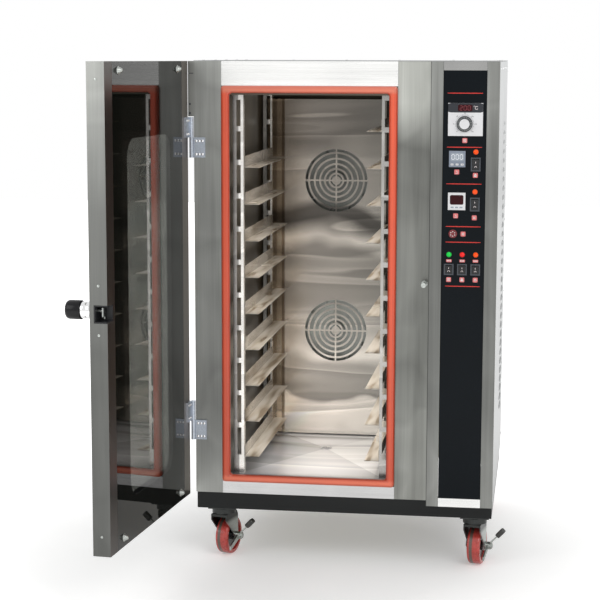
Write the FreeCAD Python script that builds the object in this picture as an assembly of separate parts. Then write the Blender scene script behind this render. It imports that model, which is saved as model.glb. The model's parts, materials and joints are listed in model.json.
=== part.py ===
import FreeCAD, Part
import math
import os

from FreeCAD import Vector as V

os.makedirs("parts", exist_ok=True)

# Overall sizes, millimetres; X to the right, Y into the depth, Z up from the floor
WIDTH = 1000.0
BACK = 912.0
COLUMN_PROUD = 73.0
CASTOR_H = 174.5
BASE_H = 55.0
STEEL_H = 1446.0
TOP_T = 2.0
SHEET = 1.5

Z_BASE = CASTOR_H
Z_STEEL = Z_BASE + BASE_H
Z_TOP = Z_STEEL + STEEL_H
FOLD = 45.0
BASE_BAR = 60.0
BASE_T = 4.0
BASE_INSET = 4.0
SEAM = 0.5

# Control column, then the door opening and gasket left of it
COLUMN_W = 217.4
COLUMN_POST = 39.5
COLUMN_X = WIDTH - COLUMN_W
POST_L_W = 91.5
POST_R_W = 109.9
POST_R_X = COLUMN_X - SEAM - POST_R_W
SILL_H = 41.0
HEADER_H = 79.5
GASKET_W = 27.0
GASKET_H = 24.0
GASKET_T = 17.5
GASKET_R = 10.0
GASKET_ROUND = 9.0
MOUTH_TOP = 30.0

# Cavity of sheet panels with a fan baffle in front of its back wall
CAV_SIDE = 10.0
CAV_SILL = 8.0
CAV_BEHIND = 114.0
CAV_BACK = BACK - CAV_BEHIND
PLENUM = 93.0
BAFFLE_Y = CAV_BACK - PLENUM
BAFFLE_SIDE = 16.0
BAFFLE_WING = 69.0
BAFFLE_SWEEP = 32.0
BAFFLE_GAP = 29.5
BAFFLE_FOOT = 0.5
FLOOR_DROP = 11.0
DRAIN_OFF = -4.0
DRAIN_AHEAD = 195.0
DRAIN_R = 18.0

# Ring grilles and fans
GRILLE_OFF = 4.5
GRILLE_AT = (0.3075, 0.7446)
GRILLE_R = 115.0
RING_BARS = (101.5, 80.5, 60.5, 42.5, 25.5, 12.5)
RING_BAR_W = 7.0
SPOKE_W = 6.0
STANDOFF_R = 8.0
FAN_SHARE = 0.275
FAN_BLADES = 10
FAN_BLADE_W = 44.0
FAN_HUB_R = 22.0
FAN_DEPTH = 56.0
SHAFT_R = 7.0
RUN = 0.05
HEATER_SHARE = 0.341
HEATER_STEP = 15.0
HEATER_TUBE = 5.0
MOTOR_R = 62.0
MOTOR_L = 54.0

# Rack
RACK_OFF = 5.5
RACK_SPACE = 43.6
RACK_POST_W = 36.0
RACK_POST_D = 24.0
RACK_FRONT = 40.0
RACK_REAR = BAFFLE_Y - 75.0
SLOT_IN = 9.5
SLOT_W = 14.0
SLOT_PITCH = 110.9
SLOT_BRIDGE = 17.0
SLOT_FOOT = 67.0
RAIL_W = 50.0
RAIL_UP = 38.5
RAIL_Y0 = RACK_FRONT + 4.0
RAIL_Y1 = BAFFLE_Y - 21.0
RAIL_FOOT = 59.0
RAIL_HEAD = 118.9
RAIL_COUNT = 10

# Door and hinges, drawn closed and then swung open
DOOR_GAP = 18.0
DOOR_T = 55.0
DOOR_DROP = 3.5
DOOR_Z0 = Z_STEEL - DOOR_DROP
DOOR_SIDE_GAP = 10.6
DOOR_W = COLUMN_X - DOOR_SIDE_GAP
STILE = 62.0
DOOR_LAP = 45.0
GLASS_T = 5.0
GLASS_FIT = 0.6
WIN_SIDE = 85.0
WIN_END = 110.0
WIN_R = 45.0
PIVOT_X = -7.0
PIVOT_Y = -8.2
OPEN_DEG = 95.77
KNUCKLE_R = 7.6
PIN_R = 4.0
LEAF_T = 7.0
LEAF_W = 38.0
LEAF_H = 66.0
HINGE_LOW = 249.5
HINGE_HIGH = 248.5
HINGE_SPLIT = (Z_STEEL + HINGE_LOW, Z_TOP - HINGE_HIGH)
HINGE_PLAY = 0.6
EAR_W = 19.0
EAR_SEAM = 39.0
EAR_HOLES = (140.0, 170.0)

# Handle, latch and keeper
LATCH_UP = 4.5
LATCH_Z = (Z_STEEL + Z_TOP) / 2 + LATCH_UP
LATCH_IN = 30.0
KNOB_R = 25.0
KNOB_L = 52.0
COLLAR_R = 21.0
COLLAR_L = 24.0
SPINDLE_R = 6.0
HOOK_T = 4.0
HOOK_W = 18.0
HOOK_L = 26.0
POCKET_UP = 15.0
POCKET_DOWN = 30.0
KEEPER_IN = 7.0
KEEPER_X = DOOR_W - KEEPER_IN
KEEPER_STEM = 4.5
KEEPER_HEAD = 8.0
KEEPER_FLANGE = 10.0
KEEPER_REACH = 50.0

# Control panel
PANEL_BACK = 3.5
PANEL_T = 3.0
TRIM_H = 28.0
LAMP_R = 10.0
LAMP_UP = 8.0
BEZEL_UP = 6.0
BEZEL_RIM = 4.0
ROCK_DEG = 9.0
ROCK_PLAY = 0.7

# Castors
WHEEL_W = 44.0
WHEEL_CLEAR = 15.6
AXLE_R = 6.0
TRAIL = 37.0
FORK_T = 4.0
FORK_GAP = 3.0
FORK_W = 84.0
FORK_END = 15.0
HEAD_R = 40.0
HEAD_H = 18.0
PLATE_T = 4.0
PLATE_X = 96.0
PLATE_Y = 74.0
CROWN_H = 8.0
KINGPIN_R = 8.0
HEAD_PLAY = 0.4
WHEEL_R = (CASTOR_H - PLATE_T - HEAD_H - HEAD_PLAY - CROWN_H - WHEEL_CLEAR) / 2
CASTOR_IN_L = 88.0
CASTOR_IN_R = 60.0
CASTOR_IN_Y = 38.0
TURN_LEFT = -14.3
TURN_RIGHT = -10.7
LEVER_T = 5.0
LEVER_W = 13.0
LEVER_UP = 69.0
LEVER_SPLAY = 47.0
LEVER_TOE = 70.0
LEVER_TIP = 28.0
PEDAL_W = 24.0
PEDAL_L = 30.0
HUB_L = 18.0
LOUVRE_COUNT = 32
LOUVRE_LOW = 215.0
LOUVRE_TOP = 221.0
LOUVRE_H = 8.0
LOUVRE_Y0 = 515.0
LOUVRE_Y1 = 605.0


def box(x0, x1, y0, y1, z0, z1):
    return Part.makeBox(x1 - x0, y1 - y0, z1 - z0, V(x0, y0, z0))


def cyl(r, length, base, axis):
    return Part.makeCylinder(r, length, V(*base), V(*axis))


def tidy(shape):
    return shape.removeSplitter()


def prism_y(points, y0, y1):
    """Closed outline in X and Z carried from y0 to y1."""
    loop = [V(x, y0, z) for x, z in points]
    face = Part.Face(Part.makePolygon(loop + [loop[0]]))
    return face.extrude(V(0, y1 - y0, 0))


def prism_x(points, x0, x1):
    """Closed outline in Y and Z carried from x0 to x1."""
    loop = [V(x0, y, z) for y, z in points]
    face = Part.Face(Part.makePolygon(loop + [loop[0]]))
    return face.extrude(V(x1 - x0, 0, 0))


def round_slab(x0, x1, y0, y1, z0, z1, r):
    """Slab standing in X and Z with rounded corners."""
    slab = box(x0, x1, y0, y1, z0, z1)
    edges = [e for e in slab.Edges if abs(e.Vertexes[0].Y - e.Vertexes[1].Y) > 1e-6]
    return slab.makeFillet(r, edges)


def channel(x0, x1, y0, y1, z0, z1):
    """Folded sheet with a front, two sides and two ends, open at the back."""
    outer = box(x0, x1, y0, y1, z0, z1)
    inner = box(x0 + SHEET, x1 - SHEET, y0 + SHEET, y1 + 1, z0 + SHEET, z1 - SHEET)
    return outer.cut(inner)


nodes = {}


# Base frame of folded channel, open inwards, with a plate in each corner for the castors
base = box(BASE_INSET, WIDTH - BASE_INSET, 0, BACK - BASE_INSET, Z_BASE, Z_STEEL - SEAM)
base = base.cut(box(BASE_INSET + BASE_T, WIDTH - BASE_INSET - BASE_T, BASE_T, BACK - BASE_INSET - BASE_T,
                    Z_BASE + BASE_T, Z_STEEL - SEAM - BASE_T))
base = base.cut(box(BASE_BAR, WIDTH - BASE_BAR, BASE_BAR, BACK - BASE_BAR, Z_BASE - 1, Z_STEEL))
corner_l = CASTOR_IN_L + PLATE_X / 2
corner_r = WIDTH - CASTOR_IN_R - PLATE_X / 2
corner_y = CASTOR_IN_Y + PLATE_Y / 2 + 10
for cx0, cx1 in ((BASE_INSET, corner_l), (corner_r, WIDTH - BASE_INSET)):
    for cy in (0.0, BACK - BASE_INSET - corner_y):
        base = base.fuse(box(cx0, cx1, cy, cy + corner_y, Z_BASE, Z_BASE + 8))
nodes["base_frame"] = tidy(base)

# Front of the steel body
GAS_X0 = POST_L_W + SEAM
GAS_X1 = POST_R_X - SEAM
GAS_Z0 = Z_STEEL + SILL_H
GAS_Z1 = Z_TOP - HEADER_H
post = channel(0, POST_L_W, 0, FOLD, Z_STEEL, Z_TOP)
# A drilled ear closes the gap beside the door above the upper hinge
ear = box(-EAR_W, SHEET, 0, SHEET, HINGE_SPLIT[1] + LEAF_H + 2, Z_TOP)
ear = ear.cut(box(-EAR_W - 1, -1, -1, SHEET + 1, Z_TOP - EAR_SEAM - 2, Z_TOP - EAR_SEAM))
for drop in EAR_HOLES:
    ear = ear.cut(cyl(3, 10, (-EAR_W + 6, -5, Z_TOP - drop), (0, 1, 0)))
nodes["left_post"] = tidy(post.fuse(ear))
nodes["right_post"] = channel(POST_R_X, COLUMN_X - SEAM, 0, FOLD, Z_STEEL, Z_TOP)
nodes["header"] = channel(GAS_X0, GAS_X1, 0, FOLD, GAS_Z1, Z_TOP)
nodes["sill"] = channel(GAS_X0, GAS_X1, 0, FOLD, Z_STEEL, GAS_Z0)
OPEN_X0 = GAS_X0 + GASKET_W
OPEN_X1 = GAS_X1 - GASKET_W
OPEN_Z0 = GAS_Z0 + GASKET_H
OPEN_Z1 = GAS_Z1 - MOUTH_TOP
mouth = box(GAS_X0, GAS_X1, 0, SHEET, GAS_Z0 + SEAM, GAS_Z1 - SEAM)
nodes["mouth_frame"] = mouth.cut(box(OPEN_X0, OPEN_X1, -1, FOLD, OPEN_Z0, OPEN_Z1))
seal = round_slab(GAS_X0, GAS_X1, -GASKET_T, 0, GAS_Z0 + SEAM, GAS_Z1 - SEAM, GASKET_R)
hole = round_slab(OPEN_X0, OPEN_X1, -GASKET_T - 1, 1, OPEN_Z0, GAS_Z1 - GASKET_H, GASKET_R)
seal = seal.cut(hole)
front_edges = [e for e in seal.Edges if e.BoundBox.YMax < -GASKET_T + 0.01]
nodes["gasket"] = seal.makeFillet(GASKET_ROUND, front_edges)

# Cavity of separate panels, with a floor creased towards the drain
CAV_X0 = OPEN_X0 - CAV_SIDE
CAV_X1 = OPEN_X1 + CAV_SIDE
CAV_Y0 = SHEET + SEAM
CAV_Z0 = OPEN_Z0 - CAV_SILL
CAV_Z1 = OPEN_Z1
CAV_W = CAV_X1 - CAV_X0
CAV_MID = (CAV_X0 + CAV_X1) / 2
DRAIN_X = CAV_MID + DRAIN_OFF
DRAIN_Y = BAFFLE_Y - DRAIN_AHEAD
GRILLE_X = CAV_MID + GRILLE_OFF
GRILLE_Z = [CAV_Z0 + share * (CAV_Z1 - CAV_Z0) for share in GRILLE_AT]
FAN_R = FAN_SHARE * CAV_W
HEATER_R = HEATER_SHARE * CAV_W
wall_z0 = CAV_Z0 - FLOOR_DROP
nodes["cavity_sides"] = Part.makeCompound([
    box(CAV_X0 - SHEET, CAV_X0, CAV_Y0, CAV_BACK, wall_z0, CAV_Z1 + SHEET),
    box(CAV_X1, CAV_X1 + SHEET, CAV_Y0, CAV_BACK, wall_z0, CAV_Z1 + SHEET)])
nodes["cavity_top"] = box(CAV_X0, CAV_X1, CAV_Y0, CAV_BACK, CAV_Z1, CAV_Z1 + SHEET)
back = box(CAV_X0, CAV_X1, CAV_BACK - SHEET, CAV_BACK, CAV_Z0 + SEAM, CAV_Z1)
for gz in GRILLE_Z:
    back = back.cut(cyl(SHAFT_R + 6, 10, (GRILLE_X, CAV_BACK - 5, gz), (0, 1, 0)))
nodes["cavity_back"] = back


def creased(z_edge, z_low):
    corners = [V(x, y, z_edge) for x, y in (
        (CAV_X0, CAV_Y0), (CAV_X1, CAV_Y0), (CAV_X1, CAV_BACK), (CAV_X0, CAV_BACK))]
    return corners, V(DRAIN_X, DRAIN_Y, z_low)


top_ring, top_low = creased(CAV_Z0, CAV_Z0 - FLOOR_DROP)
low_ring, low_low = creased(CAV_Z0 - SHEET, CAV_Z0 - FLOOR_DROP - SHEET)
faces = []
for i in range(4):
    j = (i + 1) % 4
    faces.append(Part.Face(Part.makePolygon([top_ring[i], top_ring[j], top_low, top_ring[i]])))
    faces.append(Part.Face(Part.makePolygon([low_ring[i], low_ring[j], low_low, low_ring[i]])))
    side = [top_ring[i], top_ring[j], low_ring[j], low_ring[i], top_ring[i]]
    faces.append(Part.Face(Part.makePolygon(side)))
floor = Part.Solid(Part.Shell(faces))
if floor.Volume < 0:
    floor.reverse()
drain_hole = cyl(DRAIN_R + SEAM, 40, (DRAIN_X, DRAIN_Y, CAV_Z0 - 30), (0, 0, 1))
floor = floor.cut(drain_hole)
tube_z = Z_STEEL - 30
tube = cyl(DRAIN_R, CAV_Z0 - FLOOR_DROP + 1.0 - tube_z, (DRAIN_X, DRAIN_Y, tube_z), (0, 0, 1))
tube = tube.cut(cyl(DRAIN_R - 2, 120, (DRAIN_X, DRAIN_Y, tube_z - 10), (0, 0, 1)))
nodes["cavity_floor"] = Part.makeCompound([floor, tube])

# Fan baffle: ring slots, bridged by four spokes, are cut through round each fan inlet
BAF_X0 = CAV_X0 + BAFFLE_SIDE
BAF_X1 = CAV_X1 - BAFFLE_SIDE
BAF_Z0 = CAV_Z0 + BAFFLE_FOOT
BAF_Z1 = CAV_Z1 - BAFFLE_GAP
fold_line = [(BAF_X0, BAFFLE_Y + BAFFLE_SWEEP), (BAF_X0 + BAFFLE_WING, BAFFLE_Y),
             (BAF_X1 - BAFFLE_WING, BAFFLE_Y), (BAF_X1, BAFFLE_Y + BAFFLE_SWEEP)]
outline = [V(x, y, BAF_Z0) for x, y in fold_line] + [V(x, y + SHEET, BAF_Z0) for x, y in reversed(fold_line)]
baffle = Part.Face(Part.makePolygon(outline + [outline[0]])).extrude(V(0, 0, BAF_Z1 - BAF_Z0))
slots = []
for gz in GRILLE_Z:
    edge = GRILLE_R
    for bar in RING_BARS:
        ring = cyl(edge, 10, (GRILLE_X, BAFFLE_Y - 4, gz), (0, 1, 0))
        inside = bar + RING_BAR_W / 2
        ring = ring.cut(cyl(inside, 12, (GRILLE_X, BAFFLE_Y - 5, gz), (0, 1, 0)))
        for turn in (0, 90):
            spoke = box(-GRILLE_R, GRILLE_R, -6, 8, -SPOKE_W / 2, SPOKE_W / 2)
            spoke.rotate(V(0, 0, 0), V(0, 1, 0), turn)
            spoke.translate(V(GRILLE_X, BAFFLE_Y, gz))
            ring = ring.cut(spoke)
        slots.extend(ring.Solids)
        edge = bar - RING_BAR_W / 2
baffle = baffle.cut(slots)
for x in (BAF_X0 + BAFFLE_WING + 2 * STANDOFF_R, BAF_X1 - BAFFLE_WING - 2 * STANDOFF_R):
    for z in (BAF_Z0 + 60, BAF_Z1 - 60):
        baffle = baffle.fuse(cyl(STANDOFF_R, CAV_BACK - SHEET - BAFFLE_Y, (x, BAFFLE_Y, z), (0, 1, 0)))
nodes["fan_baffle"] = tidy(baffle)

# Fan motors with shafts, fan wheels and heater rings behind the baffle
FAN_Y0 = BAFFLE_Y + SHEET + 12
FAN_Y1 = FAN_Y0 + FAN_DEPTH
MOTOR_Y = BACK - SHEET - MOTOR_L
motors = []
rings = []
for gz in GRILLE_Z:
    motor = cyl(MOTOR_R, MOTOR_L, (GRILLE_X, MOTOR_Y, gz), (0, 1, 0))
    shaft = cyl(SHAFT_R, MOTOR_Y - FAN_Y0 + 5, (GRILLE_X, FAN_Y0, gz), (0, 1, 0))
    motors.append(motor.fuse(shaft))
    for y, r, turn in ((FAN_Y0 + 12, HEATER_R, 20), (FAN_Y0 + 36, HEATER_R - HEATER_STEP, 50)):
        ring = Part.makeTorus(r, HEATER_TUBE, V(GRILLE_X, y, gz), V(0, 1, 0))
        for a in (turn, turn + 180):
            x = GRILLE_X + r * math.cos(math.radians(a))
            z = gz + r * math.sin(math.radians(a))
            ring = ring.fuse(cyl(HEATER_TUBE - 0.5, CAV_BACK - SHEET - y, (x, y, z), (0, 1, 0)))
        rings.append(ring)
nodes["fan_motors"] = Part.makeCompound(motors)
nodes["heater_rings"] = Part.makeCompound(rings)
for name, gz in zip(("fan_lower", "fan_upper"), GRILLE_Z):
    wheel = cyl(FAN_HUB_R, FAN_DEPTH, (GRILLE_X, FAN_Y0 + 1, gz), (0, 1, 0))
    wheel = wheel.fuse(cyl(FAN_R, 2, (GRILLE_X, FAN_Y1 - 1, gz), (0, 1, 0)))
    for i in range(FAN_BLADES):
        blade = box(FAN_R - 2 - FAN_BLADE_W, FAN_R - 2, FAN_Y0 + 1, FAN_Y1, -1, 1)
        blade.rotate(V(FAN_R - 24, 0, 0), V(0, 1, 0), 25)
        blade.rotate(V(0, 0, 0), V(0, 1, 0), i * 360.0 / FAN_BLADES)
        blade.translate(V(GRILLE_X, 0, gz))
        wheel = wheel.fuse(blade)
    wheel = wheel.cut(cyl(SHAFT_R + RUN, 200, (GRILLE_X, FAN_Y0 - 50, gz), (0, 1, 0)))
    nodes[name] = tidy(wheel)

# Insulation slabs between the cavity and the outer panels
INS = 2.0
slab_left = box(SHEET + INS, CAV_X0 - SHEET - INS, FOLD + INS, CAV_BACK, CAV_Z0 - 4, CAV_Z1)
slab_right = box(CAV_X1 + SHEET + INS, COLUMN_X - INS, FOLD + INS, CAV_BACK, CAV_Z0 - 4, CAV_Z1)
slab_top = box(SHEET + INS, COLUMN_X - INS, FOLD + INS, CAV_BACK, CAV_Z1 + SHEET + INS, Z_TOP - INS)
slab_low = box(SHEET + INS, COLUMN_X - INS, FOLD + INS, CAV_BACK, Z_STEEL + 1, CAV_Z0 - FLOOR_DROP - 6)
slab_low = slab_low.cut(cyl(DRAIN_R + 4, 200, (DRAIN_X, DRAIN_Y, Z_STEEL - 50), (0, 0, 1)))
slab_back = box(SHEET + INS, COLUMN_X - INS, CAV_BACK + SEAM, MOTOR_Y - 4, Z_STEEL + 1, Z_TOP - INS)
for gz in GRILLE_Z:
    slab_back = slab_back.cut(cyl(SHAFT_R + 8, 200, (GRILLE_X, CAV_BACK - 50, gz), (0, 1, 0)))
nodes["insulation"] = Part.makeCompound([slab_left, slab_right, slab_top, slab_low, slab_back])

# Rack posts: slotted angles at the four corners of the tray space
RACK_X = CAV_MID + RACK_OFF
RACK_CLEAR = CAV_W - 2 * RACK_SPACE
POST_IN = RACK_CLEAR / 2
RAIL_Z0 = CAV_Z0 + RAIL_FOOT
RAIL_PITCH = (CAV_Z1 - CAV_Z0 - RAIL_FOOT - RAIL_HEAD) / (RAIL_COUNT - 1)
slot_count = int((CAV_Z1 - CAV_Z0 - SLOT_FOOT) / SLOT_PITCH) + 1
posts = []
for side in (-1, 1):
    for y0, lip in ((RACK_FRONT, RACK_FRONT), (RACK_REAR, RACK_REAR + RACK_POST_D - SHEET)):
        xa = RACK_X + side * POST_IN
        xb = RACK_X + side * (POST_IN + RACK_POST_W)
        wall = box(min(xa, xa + side * SHEET), max(xa, xa + side * SHEET), y0, y0 + RACK_POST_D,
                   CAV_Z0 + 1, CAV_Z1)
        leg = box(min(xa, xb), max(xa, xb), lip, lip + SHEET, CAV_Z0 + 1, CAV_Z1)
        post = wall.fuse(leg)
        near = xa + side * SLOT_IN
        far = near + side * SLOT_W
        for i in range(slot_count):
            z = CAV_Z0 + SLOT_FOOT + i * SLOT_PITCH
            post = post.cut(box(min(near, far), max(near, far), lip - 1, lip + SHEET + 1,
                                z, min(z + SLOT_PITCH - SLOT_BRIDGE, CAV_Z1 - SLOT_BRIDGE)))
        posts.append(tidy(post))
nodes["rack_posts"] = Part.makeCompound(posts)

# Shelf rails: a tread for the tray edge and an upright web against the posts; the left side has one level less
rails = []
for side in (-1, 1):
    for i in range(RAIL_COUNT if side > 0 else RAIL_COUNT - 1):
        z = RAIL_Z0 + i * RAIL_PITCH
        xo = RACK_X + side * (POST_IN - 0.2)
        xi = RACK_X + side * (POST_IN - RAIL_W)
        xw = RACK_X + side * (POST_IN - 0.2 - SHEET)
        tread = box(min(xo, xi), max(xo, xi), RAIL_Y0, RAIL_Y1, z, z + SHEET)
        web = box(min(xo, xw), max(xo, xw), RAIL_Y0, RACK_REAR + 6, z, z + RAIL_UP)
        rails.append(tidy(tread.fuse(web)))
nodes["shelf_rails"] = Part.makeCompound(rails)

# Outer panels; the right one has a column of louvre slots
nodes["left_panel"] = box(0, SHEET, FOLD + SEAM, BACK - SHEET - SEAM, Z_STEEL, Z_TOP)
RIGHT_Y0 = -COLUMN_PROUD + 30
right = box(WIDTH - SHEET, WIDTH, RIGHT_Y0 + SEAM, BACK - SHEET - SEAM, Z_STEEL, Z_TOP)
louvres = []
louvre_pitch = (STEEL_H - LOUVRE_LOW - LOUVRE_TOP) / (LOUVRE_COUNT - 1)
for i in range(LOUVRE_COUNT):
    z = Z_STEEL + LOUVRE_LOW + i * louvre_pitch
    louvres.append(box(WIDTH - 5, WIDTH + 5, LOUVRE_Y0, LOUVRE_Y1, z, z + LOUVRE_H))
nodes["right_panel"] = right.cut(louvres)
nodes["back_panel"] = box(0, WIDTH, BACK - SHEET, BACK, Z_STEEL, Z_TOP)
roof = box(0, WIDTH, SEAM, BACK, Z_TOP + SEAM, Z_TOP + SEAM + TOP_T)
roof = roof.fuse(box(COLUMN_X, WIDTH, -COLUMN_PROUD, SEAM, Z_TOP + SEAM, Z_TOP + SEAM + TOP_T))
nodes["top_panel"] = tidy(roof)

# Control column: two posts with the black panel and sloped trims set between them
COL_Y = -COLUMN_PROUD
PANEL_X0 = COLUMN_X + COLUMN_POST
PANEL_X1 = WIDTH - COLUMN_POST
left = box(COLUMN_X, PANEL_X0, COL_Y, 0, Z_STEEL, Z_TOP)
left = left.cut(box(COLUMN_X + SHEET, PANEL_X0 + 1, COL_Y + SHEET, 1, Z_STEEL - 1, Z_TOP + 1))
corner = box(PANEL_X1, WIDTH, COL_Y, RIGHT_Y0, Z_STEEL, Z_TOP)
corner = corner.cut(box(PANEL_X1 - 1, WIDTH - SHEET, COL_Y + SHEET, RIGHT_Y0 + 1, Z_STEEL - 1, Z_TOP + 1))
nodes["column_posts"] = Part.makeCompound([left, corner])
PANEL_Y = COL_Y + PANEL_BACK
PANEL_Z0 = Z_STEEL + TRIM_H
PANEL_Z1 = Z_TOP - TRIM_H
TX0 = PANEL_X0 + SEAM
TX1 = PANEL_X1 - SEAM
trim_low = prism_x([(COL_Y, Z_STEEL), (PANEL_Y - 0.6, PANEL_Z0 - SEAM), (PANEL_Y + PANEL_T, PANEL_Z0 - SEAM),
                    (PANEL_Y + PANEL_T, Z_STEEL)], TX0, TX1)
trim_top = prism_x([(COL_Y, Z_TOP), (PANEL_Y - 0.6, PANEL_Z1 + SEAM), (PANEL_Y + PANEL_T, PANEL_Z1 + SEAM),
                    (PANEL_Y + PANEL_T, Z_TOP)], TX0, TX1)
nodes["column_trims"] = Part.makeCompound([trim_low, trim_top])
panel = box(TX0, TX1, PANEL_Y, PANEL_Y + PANEL_T, PANEL_Z0, PANEL_Z1)

# Switch places: across from the panel's middle, down from a datum near the top, width, height
DATUM = Z_TOP - 5.5
PANEL_DRAWN = 138.4
MID = (PANEL_X0 + PANEL_X1) / 2
K = (PANEL_X1 - PANEL_X0) / PANEL_DRAWN
SWITCHES = {
    "rocker_bake": (MID + 36.7 * K, DATUM - 318.5, 31.0 * K, 44.0),
    "rocker_steam": (MID + 35.7 * K, DATUM - 446.0, 31.0 * K, 44.0),
    "rocker_heat": (MID - 44.3 * K, DATUM - 656.0, 31.0 * K, 36.0),
    "rocker_fan": (MID - 1.8 * K, DATUM - 656.0, 31.0 * K, 36.0),
    "rocker_lamp": (MID + 40.7 * K, DATUM - 656.0, 31.0 * K, 36.0),
}
ROCK_Y = PANEL_Y - 4.0
bezels = []
for name, (x, z, w, h) in SWITCHES.items():
    rim = box(x - w / 2, x + w / 2, PANEL_Y - BEZEL_UP, PANEL_Y, z - h / 2, z + h / 2)
    iw = w / 2 - BEZEL_RIM
    ih = h / 2 - BEZEL_RIM
    gap = box(x - iw, x + iw, PANEL_Y - 20, PANEL_Y + 20, z - ih, z + ih)
    bezels.append(rim.cut(gap))
    panel = panel.cut(gap)
    rx = iw - ROCK_PLAY
    rz = ih - ROCK_PLAY - 0.4
    rock = prism_x([(ROCK_Y - 4.0, z - rz), (ROCK_Y - 2.4, z), (ROCK_Y - 4.0, z + rz), (ROCK_Y + 3.0, z + rz - 1.5),
                    (ROCK_Y + 3.0, z - rz + 1.5)], x - rx, x + rx)
    rock.rotate(V(x, ROCK_Y, z), V(1, 0, 0), ROCK_DEG)
    nodes[name] = rock
nodes["control_panel"] = panel

# Temperature controller with its dial
TEMP = (MID - 52.8 * K, MID + 57.2 * K, DATUM - 228.5, DATUM - 124.5)
TEMP_UP = 6.0
TEMP_SILL = 4.0
TEMP_WINDOW_H = 24.0
TEMP_WINDOW = (30.0 * K, 33.0 * K)
DIAL = (MID - 0.3 * K, DATUM - 190.5)
DIAL_R = 25.0
DIAL_GRIP_R = 16.0
temp = box(TEMP[0], TEMP[1], PANEL_Y - TEMP_UP, PANEL_Y, TEMP[2], TEMP[3])
temp = temp.cut(box(TEMP[0] + TEMP_WINDOW[0], TEMP[1] - TEMP_WINDOW[1], PANEL_Y - TEMP_UP - 1,
                    PANEL_Y - TEMP_UP + 1, TEMP[3] - TEMP_SILL - TEMP_WINDOW_H, TEMP[3] - TEMP_SILL))
stem_hole = cyl(3.0 + RUN, 30, (DIAL[0], PANEL_Y - TEMP_UP - 10, DIAL[1]), (0, 1, 0))
nodes["temperature_controller"] = temp.cut(stem_hole)
skirt = cyl(DIAL_R, 4, (DIAL[0], PANEL_Y - TEMP_UP - 0.4 - 4, DIAL[1]), (0, 1, 0))
grip = cyl(DIAL_GRIP_R, 14, (DIAL[0], PANEL_Y - TEMP_UP - 0.4 - 18, DIAL[1]), (0, 1, 0))
stem = cyl(3.0, 8, (DIAL[0], PANEL_Y - TEMP_UP - 3, DIAL[1]), (0, 1, 0))
mark = box(DIAL[0] - 1.5, DIAL[0] + 1.5, PANEL_Y - TEMP_UP - 19.4, PANEL_Y - TEMP_UP - 10,
           DIAL[1] + 2, DIAL[1] + DIAL_GRIP_R - 1)
nodes["temperature_dial"] = tidy(skirt.fuse([grip, stem, mark]))

# Baking timer with three buttons, steam timer, buzzer and pilot lamps
BAKE = (MID - 48.3 * K, MID + 3.7 * K, DATUM - 327.5, DATUM - 276.0)
TIMER_UP = 5.0
BUTTONS = {"button_set": BAKE[0] + 10.0 * K, "button_up": BAKE[0] + 26.0 * K, "button_start": BAKE[0] + 42.0 * K}
BUTTON_Z = BAKE[2] + 8.5
BUTTON_W = 9.0 * K
BUTTON_H = 6.0
BUTTON_UP = 2.0
BUTTON_PLAY = 0.35
bake = box(BAKE[0], BAKE[1], PANEL_Y - TIMER_UP, PANEL_Y, BAKE[2], BAKE[3])
bake = bake.cut(box(BAKE[0] + 5, BAKE[1] - 5, PANEL_Y - TIMER_UP - 1, PANEL_Y - TIMER_UP + 0.8,
                    BAKE[2] + 19.0, BAKE[3] - 5.5))
for name, x in BUTTONS.items():
    well = box(x - BUTTON_W / 2 - BUTTON_PLAY, x + BUTTON_W / 2 + BUTTON_PLAY, PANEL_Y - TIMER_UP - 1,
               PANEL_Y - TIMER_UP + 3.6, BUTTON_Z - BUTTON_H / 2 - BUTTON_PLAY,
               BUTTON_Z + BUTTON_H / 2 + BUTTON_PLAY)
    bake = bake.cut(well)
    nodes[name] = box(x - BUTTON_W / 2, x + BUTTON_W / 2, PANEL_Y - TIMER_UP - BUTTON_UP,
                      PANEL_Y - TIMER_UP + 2, BUTTON_Z - BUTTON_H / 2, BUTTON_Z + BUTTON_H / 2)
nodes["baking_timer"] = bake
STEAM = (MID - 49.8 * K, MID + 5.7 * K, DATUM - 464.5, DATUM - 409.0)
steam = box(STEAM[0], STEAM[1], PANEL_Y - TIMER_UP, PANEL_Y, STEAM[2], STEAM[3])
nodes["steam_timer"] = steam.cut(
    box(STEAM[0] + 6, STEAM[1] - 6, PANEL_Y - TIMER_UP - 1, PANEL_Y - TIMER_UP + 1,
        STEAM[2] + 17.0, STEAM[3] - 7.5))
BUZZER = (MID - 32.8 * K, DATUM - 541.0)
BUZZER_R = 13.5
buzz = cyl(BUZZER_R, 5, (BUZZER[0], PANEL_Y - 5, BUZZER[1]), (0, 1, 0))
buzz = buzz.cut(cyl(4, 3, (BUZZER[0], PANEL_Y - 6, BUZZER[1]), (0, 1, 0)))
nodes["panel_fittings"] = Part.makeCompound(bezels + [buzz])
LAMPS = ((MID - 44.3 * K, DATUM - 608.0), (MID - 1.8 * K, DATUM - 608.0), (MID + 41.2 * K, DATUM - 608.0),
         (MID + 36.7 * K, DATUM - 279.0), (MID + 35.7 * K, DATUM - 406.0))
caps = []
for x, z in LAMPS:
    flange = cyl(LAMP_R, 3, (x, PANEL_Y - 3, z), (0, 1, 0))
    lens = cyl(LAMP_R - 2, LAMP_UP, (x, PANEL_Y - LAMP_UP, z), (0, 1, 0))
    caps.append(tidy(flange.fuse(lens)))
nodes["pilot_lamps"] = Part.makeCompound(caps)

# Keeper on the right door post
plate = cyl(KEEPER_FLANGE, 4, (KEEPER_X, -4, LATCH_Z), (0, 1, 0))
stem = cyl(KEEPER_STEM, KEEPER_REACH, (KEEPER_X, -KEEPER_REACH, LATCH_Z), (0, 1, 0))
head = cyl(KEEPER_HEAD, 6, (KEEPER_X, -KEEPER_REACH, LATCH_Z), (0, 1, 0))
nodes["keeper"] = tidy(plate.fuse([stem, head]))

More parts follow.
